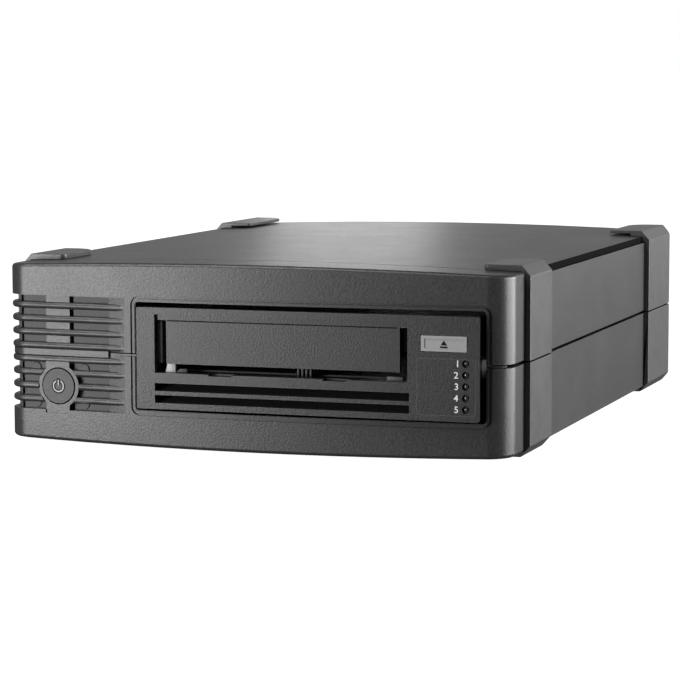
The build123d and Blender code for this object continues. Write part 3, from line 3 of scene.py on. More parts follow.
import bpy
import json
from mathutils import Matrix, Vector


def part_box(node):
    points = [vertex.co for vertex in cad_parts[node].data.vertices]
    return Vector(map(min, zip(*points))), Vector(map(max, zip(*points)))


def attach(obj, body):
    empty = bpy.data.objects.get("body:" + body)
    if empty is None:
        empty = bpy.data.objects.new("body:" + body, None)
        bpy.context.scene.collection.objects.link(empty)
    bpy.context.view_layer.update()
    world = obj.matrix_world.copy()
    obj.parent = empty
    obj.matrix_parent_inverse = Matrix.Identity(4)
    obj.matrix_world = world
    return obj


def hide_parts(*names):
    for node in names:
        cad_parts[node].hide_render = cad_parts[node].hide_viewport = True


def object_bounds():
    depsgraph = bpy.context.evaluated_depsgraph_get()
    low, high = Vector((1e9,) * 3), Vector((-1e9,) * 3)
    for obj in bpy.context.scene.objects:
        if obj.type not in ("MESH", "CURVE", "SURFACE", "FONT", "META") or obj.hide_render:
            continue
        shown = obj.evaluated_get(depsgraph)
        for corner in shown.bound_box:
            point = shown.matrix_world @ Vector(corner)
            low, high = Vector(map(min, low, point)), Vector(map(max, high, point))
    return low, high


bl_info = {
    "name": "Desktop Tape Drive",
    "version": (1, 0, 0),
    "blender": (4, 5, 0),
    "location": "3D View > Sidebar > Tape Drive",
    "description": "Dresses a desktop cartridge tape drive and sets its studio stage",
    "category": "Object",
}

import json
import math

import bmesh
import bpy
from mathutils import Matrix, Vector
from mathutils.bvhtree import BVHTree

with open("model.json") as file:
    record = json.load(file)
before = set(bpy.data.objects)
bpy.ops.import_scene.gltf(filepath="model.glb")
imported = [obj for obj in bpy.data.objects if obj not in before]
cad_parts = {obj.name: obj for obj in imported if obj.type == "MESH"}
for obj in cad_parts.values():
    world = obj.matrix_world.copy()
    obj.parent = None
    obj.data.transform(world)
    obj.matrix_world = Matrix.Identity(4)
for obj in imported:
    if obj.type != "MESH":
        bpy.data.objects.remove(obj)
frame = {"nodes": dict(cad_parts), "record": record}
CAD_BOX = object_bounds()
MM = 0.001

# Meshes
MERGE = 0.002 * MM
FLAT_ANGLE = math.radians(0.3)
BEVEL_ANGLE = math.radians(28)
CREASE_ANGLE = math.radians(40)
GUARD_EDGE = 0.35 * MM
DOME_EDGE = 0.8 * MM
RIM_DEPTH = 0.05 * MM
BLOCK_EDGE = 0.15 * MM

# Gaps and channels of the case, whose faces get painted shade, and bosses round the power button
FACING = 0.9
PANEL_X = 111.45 * MM
SEAM = 40 * MM
SEAM_REACH = 1.2 * MM
CHANNEL_WIDTH = 1.6 * MM
CHANNEL_LOW = 73.5 * MM
CHANNEL_HIGH = 76.5 * MM
BOSS_REACH = (11.8 * MM, 8.1 * MM)
BOSS_RADIUS = 2.8 * MM
BOSS_AREA = 2 * MM**2

# Bodies, slots and places taken from the frame
BODY_OF = {
    node: body
    for body, members in frame["record"]["behaviour"]["bodies"].items()
    for node in members
}
SLOT_OF = {part["node"]: part["material_slot"] for part in frame["record"]["subparts"]}
EJECT_LOW, EJECT_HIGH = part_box("eject_button")
POWER_LOW, POWER_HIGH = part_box("power_button")
LENS_LOW, LENS_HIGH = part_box("led_lenses")
DOOR_LOW, DOOR_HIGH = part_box("cartridge_door")
FACE_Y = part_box("drive_bezel")[0].y
DOOR_GAP = 0.5 * MM
FLOOR_DROP = 3.8 * MM
SLOT_LEFT = DOOR_LOW.x - DOOR_GAP
SLOT_RIGHT = DOOR_HIGH.x + DOOR_GAP
SLOT_FLOOR = DOOR_LOW.z - FLOOR_DROP

# Small pieces of the slot: across from a wall, back from the face, up from its floor or the door's foot
BITE = 0.1 * MM
LEFT_GUIDE_ACROSS = (-BITE, 2.4 * MM)
LEFT_GUIDE_BACK = (3 * MM, 10 * MM)
LEFT_GUIDE_ABOVE_FOOT = (0.1 * MM, 17.6 * MM)
RIGHT_GUIDE_ACROSS = (-3.3 * MM, BITE)
RIGHT_GUIDE_BACK = (6 * MM, 12 * MM)
RIGHT_GUIDE_ABOVE_FOOT = (7.9 * MM, 18.2 * MM)
TAB_ACROSS = (3.2 * MM, 7.7 * MM)
TAB_BACK = (4 * MM, 6 * MM)
TAB_HEIGHT = 3.6 * MM
TAB_SLANT = 0.9 * MM
WEDGE_ACROSS = (7.8 * MM, 13 * MM)
WEDGE_HEIGHT = 1.6 * MM
WEDGE_SLANT = 2 * MM
REST_ACROSS = (-9.6 * MM, -2.8 * MM)
REST_BACK = (3 * MM, 6 * MM)
REST_HEIGHT = 1.8 * MM
TEETH_START = 61 * MM
TOOTH_COUNT = 4
TOOTH_PITCH = 1.8 * MM
TOOTH_SHARE = 0.5
TOOTH_BACK = (6 * MM, 9 * MM)
TOOTH_HEIGHT = 3.4 * MM

# Printed marks, with the painted shade line of the label groove and the painted highlight of the power symbol
LIGHT_COUNT = 5
MARK_DEPTH = 0.12 * MM
MARK_LIFT = 0.02 * MM
RAY_START = 50 * MM
CAPITAL_SHARE = 0.69
NUMERAL_WEIGHT = 0.015
POWER_GAP = math.radians(62)
POWER_BAR_FOOT = 0.15
POWER_BAR_HEAD = 0.6
POWER_EDGES = 1.0 * MM
POWER_EDGE_LIFT = 0.05 * MM
POWER_HIGHLIGHT_LIFT = 0.07 * MM
EJECT_FLATNESS = 0.85
EJECT_BAR = (0.34, 0.12)
LABEL_SIZE = (25.1 * MM, 23.2 * MM)
LABEL_RADIUS = 1.6 * MM
LABEL_SHADE_LINE = 0.3 * MM
LABEL_LEFT = 8.3 * MM
LABEL_DROP = 10.8 * MM
DOOR_LINE_DROP = 3.2 * MM
DOOR_LINE_INSET = 4.4 * MM
DOOR_LINE_HALF = 0.25 * MM

# Grain and colours of the finishes
GRAIN_DEPTH = 0.06 * MM
PEBBLE_DEPTH = 0.02 * MM
CLOUD_SIZE = 22 * MM
STAIN_SIZE = 14 * MM
TRACK_SIZE = 6 * MM
HAZE_SIZE = 1.5 * MM
MOTTLE_SIZE = 1.4 * MM
PEBBLE_SIZE = 0.7 * MM
SMALL_GRAIN = 0.3 * MM
PEBBLE_MIDDLE = 0.4
# Painted shade: near-black for faces deep in gaps and channels
PAINTED_SHADE_COLOUR = (0.004, 0.004, 0.004)
TAB_COLOUR = (0.55, 0.55, 0.55)
GUIDE_COLOUR = (0.045, 0.045, 0.045)

# Stage
AIM = Vector((41.76, -152.2, 49.56)) * MM
FLOOR_HALF = 4.0
FLOOR_COLOUR = (0.25, 0.25, 0.25)
WHITE = (1, 1, 1)
SENSOR_WIDTH = 36


class FinishSettings(bpy.types.PropertyGroup):
    """Colours and grain of the moulded plastics."""

    case_colour: bpy.props.FloatVectorProperty(
        name="Case", description="Colour of the case and its bezel", subtype="COLOR", size=3,
        default=(0.035, 0.035, 0.035), min=0, max=1)
    guard_colour: bpy.props.FloatVectorProperty(
        name="Guards", description="Colour of the corner guards", subtype="COLOR", size=3,
        default=(0.066, 0.066, 0.066), min=0, max=1)
    backing_colour: bpy.props.FloatVectorProperty(
        name="Vent backing", description="Colour of the plate behind the ribs", subtype="COLOR", size=3,
        default=(0.1, 0.1, 0.1), min=0, max=1)
    drive_colour: bpy.props.FloatVectorProperty(
        name="Drive face", description="Colour of the drive's own face", subtype="COLOR", size=3,
        default=(0.02, 0.02, 0.02), min=0, max=1)
    eject_colour: bpy.props.FloatVectorProperty(
        name="Eject key", description="Colour of the eject key", subtype="COLOR", size=3,
        default=(0.3, 0.3, 0.3), min=0, max=1)
    grain: bpy.props.FloatProperty(
        name="Grain", description="Width of one grain of the moulded texture", unit="LENGTH",
        default=0.9 * MM, min=0.05 * MM, max=3 * MM)
    roughness: bpy.props.FloatProperty(
        name="Roughness", description="Roughness of the case plastic", default=0.35, min=0, max=1)


class MarkSettings(bpy.types.PropertyGroup):
    """Sizes and inks of the printed marks, and the colour of the painted highlight in the power symbol."""

    digit_height: bpy.props.FloatProperty(
        name="Digit height", description="Height of the numbers beside the lights", unit="LENGTH",
        default=2.6 * MM, min=1 * MM, max=5 * MM)
    digit_gap: bpy.props.FloatProperty(
        name="Digit gap", description="From a light's centre to the right edge of its number", unit="LENGTH",
        default=3.2 * MM, min=1 * MM, max=10 * MM)
    symbol_radius: bpy.props.FloatProperty(
        name="Power symbol", description="Radius of the ring of the power symbol", unit="LENGTH",
        default=2.35 * MM, min=1 * MM, max=5 * MM)
    symbol_stroke: bpy.props.FloatProperty(
        name="Power stroke", description="Width of the power symbol's dark edge", unit="LENGTH",
        default=1.55 * MM, min=0.1 * MM, max=2 * MM)
    eject_width: bpy.props.FloatProperty(
        name="Eject symbol", description="Width of the eject symbol", unit="LENGTH",
        default=3.2 * MM, min=1 * MM, max=8 * MM)
    ink: bpy.props.FloatVectorProperty(
        name="Light ink", description="Colour of the printed numbers", subtype="COLOR", size=3,
        default=(0.8, 0.8, 0.8), min=0, max=1)
    # Painted highlight: the pale line inside the power symbol stands in for light on its embossed edge
    painted_highlight_ink: bpy.props.FloatVectorProperty(
        name="Pale ink", description="Colour of the power symbol's line", subtype="COLOR", size=3,
        default=(0.6, 0.6, 0.6), min=0, max=1)
    dark_ink: bpy.props.FloatVectorProperty(
        name="Dark ink", description="Colour of the two keys' symbols", subtype="COLOR", size=3,
        default=(0.012, 0.012, 0.012), min=0, max=1)


class StageSettings(bpy.types.PropertyGroup):
    """Camera and lamps."""

    azimuth: bpy.props.FloatProperty(
        name="Azimuth", description="Camera's turn round the object", subtype="ANGLE",
        default=math.radians(19.01))
    elevation: bpy.props.FloatProperty(
        name="Elevation", description="Camera's height angle", subtype="ANGLE",
        default=math.radians(6.09))
    roll: bpy.props.FloatProperty(
        name="Roll", description="Camera's roll", subtype="ANGLE", default=math.radians(-0.14))
    distance: bpy.props.FloatProperty(
        name="Distance", description="From the camera to the front of the drive", unit="LENGTH",
        default=1061.5 * MM, min=0.2, max=10)
    lens: bpy.props.FloatProperty(
        name="Lens", description="Focal length in millimetres", default=138.4, min=20, max=400)
    key: bpy.props.FloatProperty(
        name="Key lamp", description="Power of the large lamp at the left", default=10.8, min=0, max=1000)
    back: bpy.props.FloatProperty(
        name="Back lamp", description="Power of the strip behind the case", default=0.42, min=0, max=1000)
    rear: bpy.props.FloatProperty(
        name="Rear lamp", description="Power of the wide lamp behind the case", default=1.8, min=0, max=1000)
    side: bpy.props.FloatProperty(
        name="Side lamp", description="Power of the lamp at the right", default=32.0, min=0, max=1000)
    top: bpy.props.FloatProperty(
        name="Top lamp", description="Power of the lamp above the front", default=10.0, min=0, max=1000)
    fill: bpy.props.FloatProperty(
        name="Fill", description="Strength of the even light from all round", default=0.05, min=0, max=3)


class Wire:
    """A socket that can be used in sums and products."""

    def __init__(self, tree, socket):
        self.tree = tree
        self.socket = socket

    def maths(self, operation, other=0.0, swap=False):
        """A Math node on this socket and another, or a number."""
        node = self.tree.nodes.new("ShaderNodeMath")
        node.operation = operation
        for place, value in zip(node.inputs, (other, self) if swap else (self, other)):
            if isinstance(value, Wire):
                self.tree.links.new(value.socket, place)
            else:
                place.default_value = value
        return Wire(self.tree, node.outputs[0])

    def __add__(self, other):
        return self.maths("ADD", other)

    def __radd__(self, other):
        return self.maths("ADD", other, swap=True)

    def __sub__(self, other):
        return self.maths("SUBTRACT", other)

    def __rsub__(self, other):
        return self.maths("SUBTRACT", other, swap=True)

    def __mul__(self, other):
        return self.maths("MULTIPLY", other)

    def __rmul__(self, other):
        return self.maths("MULTIPLY", other, swap=True)

    def swing(self, amount, middle=0.5):
        """Noise moved to either side of 0, and scaled."""
        return (self - middle) * amount

    def clamped(self):
        """The value kept between 0 and 1."""
        return self.maths("MAXIMUM", 0.0).maths("MINIMUM", 1.0)


class Shading:
    """A tree of shader nodes."""

    def __init__(self, tree):
        self.tree = tree

    def node(self, kind, settings=None, inputs=None, output=0):
        """A node of any type: its settings first, then the values or links of its sockets."""
        made = self.tree.nodes.new("ShaderNode" + kind)
        for name, value in (settings or {}).items():
            setattr(made, name, value)
        for name, value in (inputs or {}).items():
            self.feed(made.inputs[name], value)
        return Wire(self.tree, made.outputs[output])

    def feed(self, socket, value):
        """Links a socket, or sets its value. A colour of three values gets its fourth."""
        if isinstance(value, Wire):
            self.tree.links.new(value.socket, socket)
        elif hasattr(value, "__len__") and len(value) == 3 and socket.type == "RGBA":
            socket.default_value = (*value, 1)
        else:
            socket.default_value = value

    def seen(self):
        """1 for what the camera sees directly, and 0 for all other light."""
        return self.node("LightPath", output="Is Camera Ray")


class Finish(Shading):
    """One material, its nodes and its main shader."""

    def __init__(self, name):
        self.material = bpy.data.materials.new(name)
        self.material.use_nodes = True
        super().__init__(self.material.node_tree)
        self.shader = self.tree.nodes["Principled BSDF"]

    def set(self, **values):
        """Sets sockets of the main shader: underscores stand for spaces."""
        for name, value in values.items():
            self.feed(self.shader.inputs[name.replace("_", " ")], value)

    def place(self, stretch=(1, 1, 1)):
        """Object coordinates, stretched along the axes."""
        coordinates = self.node("TexCoord", output="Object")
        if stretch == (1, 1, 1):
            return coordinates
        return self.node("Mapping", inputs={"Vector": coordinates, "Scale": stretch})

    def noise(self, size, detail=2.0, stretch=(1, 1, 1)):
        """Noise from 0 to 1 whose features are about one size wide, in metres."""
        inputs = {"Vector": self.place(stretch), "Scale": 1 / size, "Detail": detail}
        return self.node("TexNoise", inputs=inputs)

    def tinted(self, colour, shade):
        """The colour times a varying shade, as a colour link."""
        grey = self.node("CombineColor", inputs={"Red": shade, "Green": shade, "Blue": shade})
        settings = {"data_type": "RGBA", "blend_type": "MULTIPLY"}
        return self.node("Mix", settings, {0: 1, 6: colour, 7: grey}, output=2)

    def bump(self, height, depth):
        """A normal that follows a height, the depth in metres."""
        return self.node("Bump", inputs={"Height": height, "Distance": depth, "Strength": 1.0})


def painted_shade_finish(name, grain):
    """Painted shade: near-black, barely glossy plastic put on faces in narrow gaps and channels, so that they
    look unlit.
    """
    finish = Finish(name)
    fine = finish.noise(grain)
    finish.set(
        Base_Color=finish.tinted(PAINTED_SHADE_COLOUR, 1 + fine.swing(0.2)),
        Roughness=(0.9 + fine.swing(0.1)).clamped(),
        Specular_IOR_Level=0.03,
    )
    return finish.material


def moulded(name, colour, grain, roughness, depth=GRAIN_DEPTH, mottle=1.1):
    """Grained moulded plastic: a fine bump, a slight mottling and wide faint clouds."""
    finish = Finish(name)
    fine = finish.noise(grain, detail=3)
    patches = finish.noise(MOTTLE_SIZE)
    clouds = finish.noise(CLOUD_SIZE)
    shade = 1 + fine.swing(mottle) + patches.swing(0.15) + clouds.swing(0.06)
    finish.set(
        Base_Color=finish.tinted(colour, shade),
        Roughness=(roughness + fine.swing(0.2) + clouds.swing(0.06)).clamped(),
        Normal=finish.bump(fine, depth),
    )
    return finish.material


def metal(name, colour, roughness, streak=(1, 1, 1), size=0.4 * MM, depth=0.004 * MM):
    """Metal with fine streaks or speckle and faint stains."""
    finish = Finish(name)
    lines = finish.noise(size, detail=4, stretch=streak)
    stains = finish.noise(STAIN_SIZE, detail=3)
    finish.set(
        Metallic=1.0,
        Base_Color=finish.tinted(colour, 1 + lines.swing(0.12) + stains.swing(0.1)),
        Roughness=(roughness + lines.swing(0.14) + stains.swing(0.1)).clamped(),
        Normal=finish.bump(lines, depth),
    )
    return finish.material


def painted(name, colour, roughness):
    """Powder-coated sheet: a pebbled skin over the metal."""
    finish = Finish(name)
    cells = {"Vector": finish.place(), "Scale": 1 / PEBBLE_SIZE}
    pebble = finish.node("TexVoronoi", {"feature": "SMOOTH_F1"}, cells)
    clouds = finish.noise(CLOUD_SIZE)
    shade = 1 + clouds.swing(0.12) + pebble.swing(0.08, PEBBLE_MIDDLE)
    finish.set(
        Base_Color=finish.tinted(colour, shade),
        Roughness=(roughness + pebble.swing(0.15, PEBBLE_MIDDLE)).clamped(),
        Normal=finish.bump(pebble, PEBBLE_DEPTH),
    )
    return finish.material


def board(name, mask, copper):
    """Green solder mask with faint tracks beneath it."""
    finish = Finish(name)
    tracks = finish.node("TexBrick", {"offset": 0.5}, {
        "Vector": finish.place(), "Scale": 1 / TRACK_SIZE, "Mortar Size": 0.06,
        "Color1": (0, 0, 0), "Color2": (0.2, 0.2, 0.2), "Mortar": WHITE,
    })
    clouds = finish.noise(CLOUD_SIZE)
    colours = {0: tracks * 0.35, 6: mask, 7: copper}
    finish.set(
        Base_Color=finish.node("Mix", {"data_type": "RGBA"}, colours, output=2),
        Roughness=(0.35 + clouds * 0.15).clamped(),
        Normal=finish.bump(tracks, PEBBLE_DEPTH),
    )
    return finish.material


def clear(name, colour):
    """The smoky clear plastic of the light pipes."""
    finish = Finish(name)
    haze = finish.noise(HAZE_SIZE)
    finish.set(
        Base_Color=finish.tinted(colour, 1 + haze.swing(0.2)),
        Roughness=(0.12 + haze * 0.06).clamped(),
        Coat_Weight=0.6,
    )
    return finish.material


def ink_finish(name, colour):
    """Printed ink, a little uneven; the same finish also carries the painted highlight of the power symbol.
    """
    finish = Finish(name)
    patches = finish.noise(MOTTLE_SIZE)
    finish.set(
        Base_Color=finish.tinted(colour, 1 + patches.swing(0.1)),
        Roughness=(0.8 + patches.swing(0.1)).clamped(),
        Specular_IOR_Level=0.1,
    )
    return finish.material


def make_finishes(colours):
    """A material for every slot of the record, under its name, and the painted shade for gaps and channels.
    """
    grain = colours.grain
    rough = colours.roughness
    moulded("case_plastic", colours.case_colour, grain, rough)
    moulded("guard_plastic", colours.guard_colour, grain, rough)
    moulded("backing_plastic", colours.backing_colour, grain, 0.6)
    moulded("button_plastic", colours.case_colour, grain * 0.6, 0.45, mottle=0.06)
    moulded("drive_plastic", colours.drive_colour, grain * 0.8, 0.33)
    moulded("eject_plastic", colours.eject_colour, grain * 0.6, 0.45, mottle=0.06)
    moulded("black_plastic", (0.02, 0.02, 0.021), grain, 0.5)
    moulded("reel_plastic", (0.42, 0.43, 0.44), grain, 0.4)
    moulded("rubber", (0.018, 0.018, 0.018), grain * 1.4, 0.8, depth=0.03 * MM)
    moulded("cable_jacket", (0.03, 0.03, 0.03), grain * 2, 0.55)
    moulded("capacitor_sleeve", (0.02, 0.05, 0.12), grain, 0.3, mottle=0.04)
    moulded("ferrite", (0.035, 0.033, 0.033), grain, 0.7)
    moulded("head_ceramic", (0.25, 0.25, 0.24), grain * 0.5, 0.25, mottle=0.04)
    board("circuit_board", (0.012, 0.09, 0.035), (0.05, 0.2, 0.06))
    painted("panel_steel", (0.03, 0.03, 0.031), 0.5)
    metal("port_metal", (0.66, 0.65, 0.62), 0.3, size=0.6 * MM)
    metal("screw_steel", (0.5, 0.5, 0.5), 0.32, size=0.3 * MM)
    metal("brass_pin", (0.75, 0.62, 0.36), 0.25, streak=(1, 0.05, 1))
    metal("zinc_sheet", (0.6, 0.61, 0.62), 0.38, size=2.5 * MM)
    metal("heatsink_aluminium", (0.62, 0.62, 0.63), 0.35, streak=(0.05, 1, 1))
    metal("cast_aluminium", (0.16, 0.16, 0.16), 0.6, size=0.8 * MM, depth=0.02 * MM)
    metal("motor_steel", (0.45, 0.45, 0.46), 0.35, streak=(1, 1, 0.05))
    metal("roller_metal", (0.7, 0.7, 0.71), 0.2, streak=(1, 1, 0.05))
    clear("lens_plastic", (0.05, 0.05, 0.05))
    painted_shade_finish("painted_shade_black", grain)


def put_on(piece, material):
    """Gives a piece one material."""
    piece.data.materials.clear()
    piece.data.materials.append(material)


def mesh_from(name, form):
    """A mesh from a bmesh, which is freed."""
    mesh = bpy.data.meshes.new(name)
    form.to_mesh(mesh)
    form.free()
    return mesh


def in_scene(name, data):
    """A new object of the scene, at the origin."""
    made = bpy.data.objects.new(name, data)
    bpy.context.scene.collection.objects.link(made)
    return made


def new_piece(name, form, node, finish=None):
    """A finished piece from a bmesh: it rides on a node's body and takes its slot."""
    piece = in_scene(name, mesh_from(name, form))
    put_on(piece, finish or bpy.data.materials[SLOT_OF[node]])
    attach(piece, BODY_OF[node])
    return piece


def soften(form, edges, offset, segments=2):
    """Rounds edges of a form."""
    bmesh.ops.bevel(
        form, geom=edges, offset=offset, offset_type="OFFSET", segments=segments,
        affect="EDGES", profile=0.5, material=-1, clamp_overlap=True)


def crease(form):
    """Smooth faces, with every sharp edge left hard."""
    for face in form.faces:
        face.smooth = True
    for edge in form.edges:
        edge.smooth = len(edge.link_faces) == 2 and edge.calc_face_angle(math.pi) < CREASE_ANGLE


def merged(node):
    """A bmesh of a CAD node with its loose triangles joined and its flat faces made whole."""
    form = bmesh.new()
    form.from_mesh(frame["nodes"][node].data)
    bmesh.ops.remove_doubles(form, verts=form.verts, dist=MERGE)
    bmesh.ops.dissolve_limit(form, angle_limit=FLAT_ANGLE, verts=form.verts, edges=form.edges)
    return form


def dressed(node, name, rounding=0.0, segments=2, pick=None, shade_or_boss_test=None, shade_or_boss_finish="painted_shade_black"):
    """A smooth copy of a CAD node that stands in for it. Faces that the second test picks take a second
    finish: painted shade by default, or the vent backing's colour on the bosses.
    """
    form = merged(node)
    if rounding:
        sharp = [
            edge for edge in form.edges
            if len(edge.link_faces) == 2 and edge.calc_face_angle(0) > BEVEL_ANGLE
            and (pick is None or pick(edge))
        ]
        soften(form, sharp, rounding, segments)
        bmesh.ops.remove_doubles(form, verts=form.verts, dist=MERGE)
    crease(form)
    dark = [bool(shade_or_boss_test and shade_or_boss_test(face)) for face in form.faces]
    piece = new_piece(name, form, node)
    if shade_or_boss_test:
        piece.data.materials.append(bpy.data.materials[shade_or_boss_finish])
        for face, inside in zip(piece.data.polygons, dark):
            face.material_index = int(inside)
    weights = piece.modifiers.new("weights", "WEIGHTED_NORMAL")
    weights.keep_sharp = True
    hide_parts(node)


# The faces that the three tests below pick get painted shade, a near-black finish, in place of the shade in
# the channels and the seam.
def in_channel(face):
    """Tells whether a face lies in the channel along the top edge of a side panel."""
    centre = face.calc_center_bounds()
    inside = PANEL_X - CHANNEL_WIDTH < abs(centre.x) < PANEL_X
    return inside and CHANNEL_LOW < centre.z < CHANNEL_HIGH


def in_seam(face):
    """Tells whether a face lies in the gap between the upper and lower halves."""
    return abs(face.normal.z) > FACING and abs(face.calc_center_median().z - SEAM) < SEAM_REACH


def in_channel_or_seam(face):
    """Tells whether a face of the upper shell lies in its channels or in the gap below it."""
    return in_channel(face) or in_seam(face)


def on_boss(face):
    """Tells whether a face ends one of the four bosses round the power button."""
    centre = face.calc_center_median()
    middle = (POWER_LOW + POWER_HIGH) / 2
    across = abs(abs(centre.x - middle.x) - BOSS_REACH[0])
    rise = abs(abs(centre.z - middle.z) - BOSS_REACH[1])
    return face.normal.y < -FACING and face.calc_area() > BOSS_AREA and max(across, rise) < BOSS_RADIUS


def on_lens_rim(edge):
    """Tells whether an edge goes round the front of a light's lens."""
    return all(vert.co.y < LENS_LOW.y + RIM_DEPTH for vert in edge.verts)


def bar_form(x, z, depth):
    """A flat bar in X and Z from its low and high values, drawn back along Y."""
    form = bmesh.new()
    bmesh.ops.create_cube(form, size=1)
    size = Vector((x[1] - x[0], depth, z[1] - z[0]))
    bmesh.ops.scale(form, vec=size, verts=form.verts)
    bmesh.ops.translate(form, vec=((x[0] + x[1]) / 2, depth / 2, (z[0] + z[1]) / 2), verts=form.verts)
    return form


def arc_form(radius, stroke, gap, depth, steps=40):
    """An arc in X and Z, open by a gap at the top."""
    form = bmesh.new()
    half = stroke / 2
    corners = ((radius - half, 0), (radius + half, 0), (radius + half, depth), (radius - half, depth))
    profile = form.faces.new([form.verts.new((reach, y, 0)) for reach, y in corners])
    start = Matrix.Rotation(-math.pi / 2 + gap / 2, 4, "Y")
    bmesh.ops.rotate(form, verts=form.verts, cent=(0, 0, 0), matrix=start)
    bmesh.ops.spin(
        form, geom=[profile, *profile.edges, *profile.verts], cent=(0, 0, 0), axis=(0, 1, 0),
        angle=2 * math.pi - gap, steps=steps)
    bmesh.ops.recalc_face_normals(form, faces=form.faces)
    return form


def power_form(radius, stroke, depth):
    """The power symbol: an open arc and the bar in its gap."""
    form = arc_form(radius, stroke, POWER_GAP, depth)
    rise = (radius * POWER_BAR_FOOT, radius + stroke * POWER_BAR_HEAD)
    add(form, bar_form((-stroke / 2, stroke / 2), rise, depth))
    return form


def eject_form(width, depth):
    """The eject symbol: a triangle over a bar."""
    form = bmesh.new()
    bmesh.ops.create_cone(
        form, cap_ends=True, segments=3, radius1=width / 2, radius2=width / 2, depth=depth,
        matrix=Matrix.Translation((0, depth / 2, 0)) @ Matrix.Rotation(math.pi / 2, 4, "X"))
    bmesh.ops.scale(form, vec=(1, 1, EJECT_FLATNESS), verts=form.verts)
    low = min(vert.co.z for vert in form.verts)
    rise = tuple(low - width * share for share in EJECT_BAR)
    add(form, bar_form((-width / 2, width / 2), rise, depth))
    return form


def rounded_outline(width, height, radius, level, steps=6):
    """The points of a rounded rectangle in X and Z, at a level along Y."""
    points = []
    for quarter, (side, rise) in enumerate(((1, 1), (-1, 1), (-1, -1), (1, -1))):
        for step in range(steps + 1):
            angle = math.pi / 2 * (quarter + step / steps)
            points.append(Vector((
                side * (width / 2 - radius) + radius * math.cos(angle), level,
                rise * (height / 2 - radius) + radius * math.sin(angle))))
    return points


def frame_form(width, height, radius, stroke, depth):
    """A thin line round a rounded rectangle."""
    form = bmesh.new()
    loops = []
    for inset, level in ((0, 0), (0, depth), (stroke, depth), (stroke, 0)):
        outline = rounded_outline(width - 2 * inset, height - 2 * inset, radius - inset, level)
        loops.append([form.verts.new(point) for point in outline])
    for index, loop in enumerate(loops):
        bmesh.ops.bridge_loops(form, edges=closed_edges(form, loop) + closed_edges(form, loops[index - 1]))
    bmesh.ops.recalc_face_normals(form, faces=form.faces)
    return form


def closed_edges(form, verts):
    """The edges round a closed loop of points, made where they are missing."""
    pairs = zip(verts, verts[1:] + verts[:1])
    return [form.edges.get(pair) or form.edges.new(pair) for pair in pairs]


def block_form(x, y, z, slant=0.0):
    """A block from low and high values, its edges softened and its top's left edge moved inwards."""
    form = bar_form(x, z, y[1] - y[0])
    bmesh.ops.translate(form, vec=(0, y[0], 0), verts=form.verts)
    for vert in form.verts:
        if vert.co.z > z[0] + BLOCK_EDGE and vert.co.x < x[1] - BLOCK_EDGE:
            vert.co.x += slant
    soften(form, form.edges[:], BLOCK_EDGE)
    crease(form)
    return form


def span(start, reach):
    """A low and a high place along an axis, from a start and both distances from it."""
    return (start + reach[0], start + reach[1])


def on_floor(height):
    """From just inside the slot's floor to a height above it."""
    return span(SLOT_FLOOR, (-BITE, height))


def slot_piece(name, finish, x, back, z, slant=0.0):
    """A small piece fixed in the slot, which reaches back from the face."""
    new_piece(name, block_form(x, span(FACE_Y, back), z, slant), "drive_bezel", finish)


def add(form, other):
    """Adds another bmesh to a form and frees it."""
    mesh = mesh_from("part", other)
    form.from_mesh(mesh)
    bpy.data.meshes.remove(mesh)


def numeral_form(text, height):
    """One numeral in X and Z, its right edge at the origin and its middle at the height of the origin."""
    curve = bpy.data.curves.new(text, "FONT")
    curve.body = text
    curve.size = height / CAPITAL_SHARE
    curve.offset = height * NUMERAL_WEIGHT
    curve.extrude = MARK_DEPTH / 2
    carrier = bpy.data.objects.new(text, curve)
    mesh = bpy.data.meshes.new_from_object(carrier)
    form = bmesh.new()
    form.from_mesh(mesh)
    bpy.data.objects.remove(carrier)
    bpy.data.curves.remove(curve)
    bpy.data.meshes.remove(mesh)
    bmesh.ops.rotate(form, verts=form.verts, cent=(0, 0, 0), matrix=Matrix.Rotation(math.pi / 2, 4, "X"))
    right = max(vert.co.x for vert in form.verts)
    levels = [vert.co.z for vert in form.verts]
    middle = (max(levels) + min(levels)) / 2
    bmesh.ops.translate(form, vec=(-right, MARK_DEPTH / 2, -middle), verts=form.verts)
    return form


def printed(name, form, place, node, finish, lift=MARK_LIFT):
    """A flat mark printed on the front of a node: its front stands off the surface by the lift."""
    surface = bmesh.new()
    surface.from_mesh(frame["nodes"][node].data)
    tree = BVHTree.FromBMesh(surface)
    surface.free()
    for vert in form.verts:
        start = Vector((vert.co.x + place[0], CAD_BOX[0].y - RAY_START, vert.co.z + place[1]))
        hit, _, _, _ = tree.ray_cast(start, Vector((0, 1, 0)))
        vert.co = Vector((start.x, hit.y - lift + vert.co.y, start.z))
    new_piece(name, form, node, finish)


class FinishesOperator(bpy.types.Operator):
    """Makes every material and puts it on the nodes of its slot."""

    bl_idname = "tape_drive.finishes"
    bl_label = "Finishes"

    def execute(self, context):
        for plain in list(bpy.data.materials):
            bpy.data.materials.remove(plain)
        make_finishes(context.scene.tape_drive_finish)
        for node, slot in SLOT_OF.items():
            put_on(frame["nodes"][node], bpy.data.materials[slot])
        return {"FINISHED"}


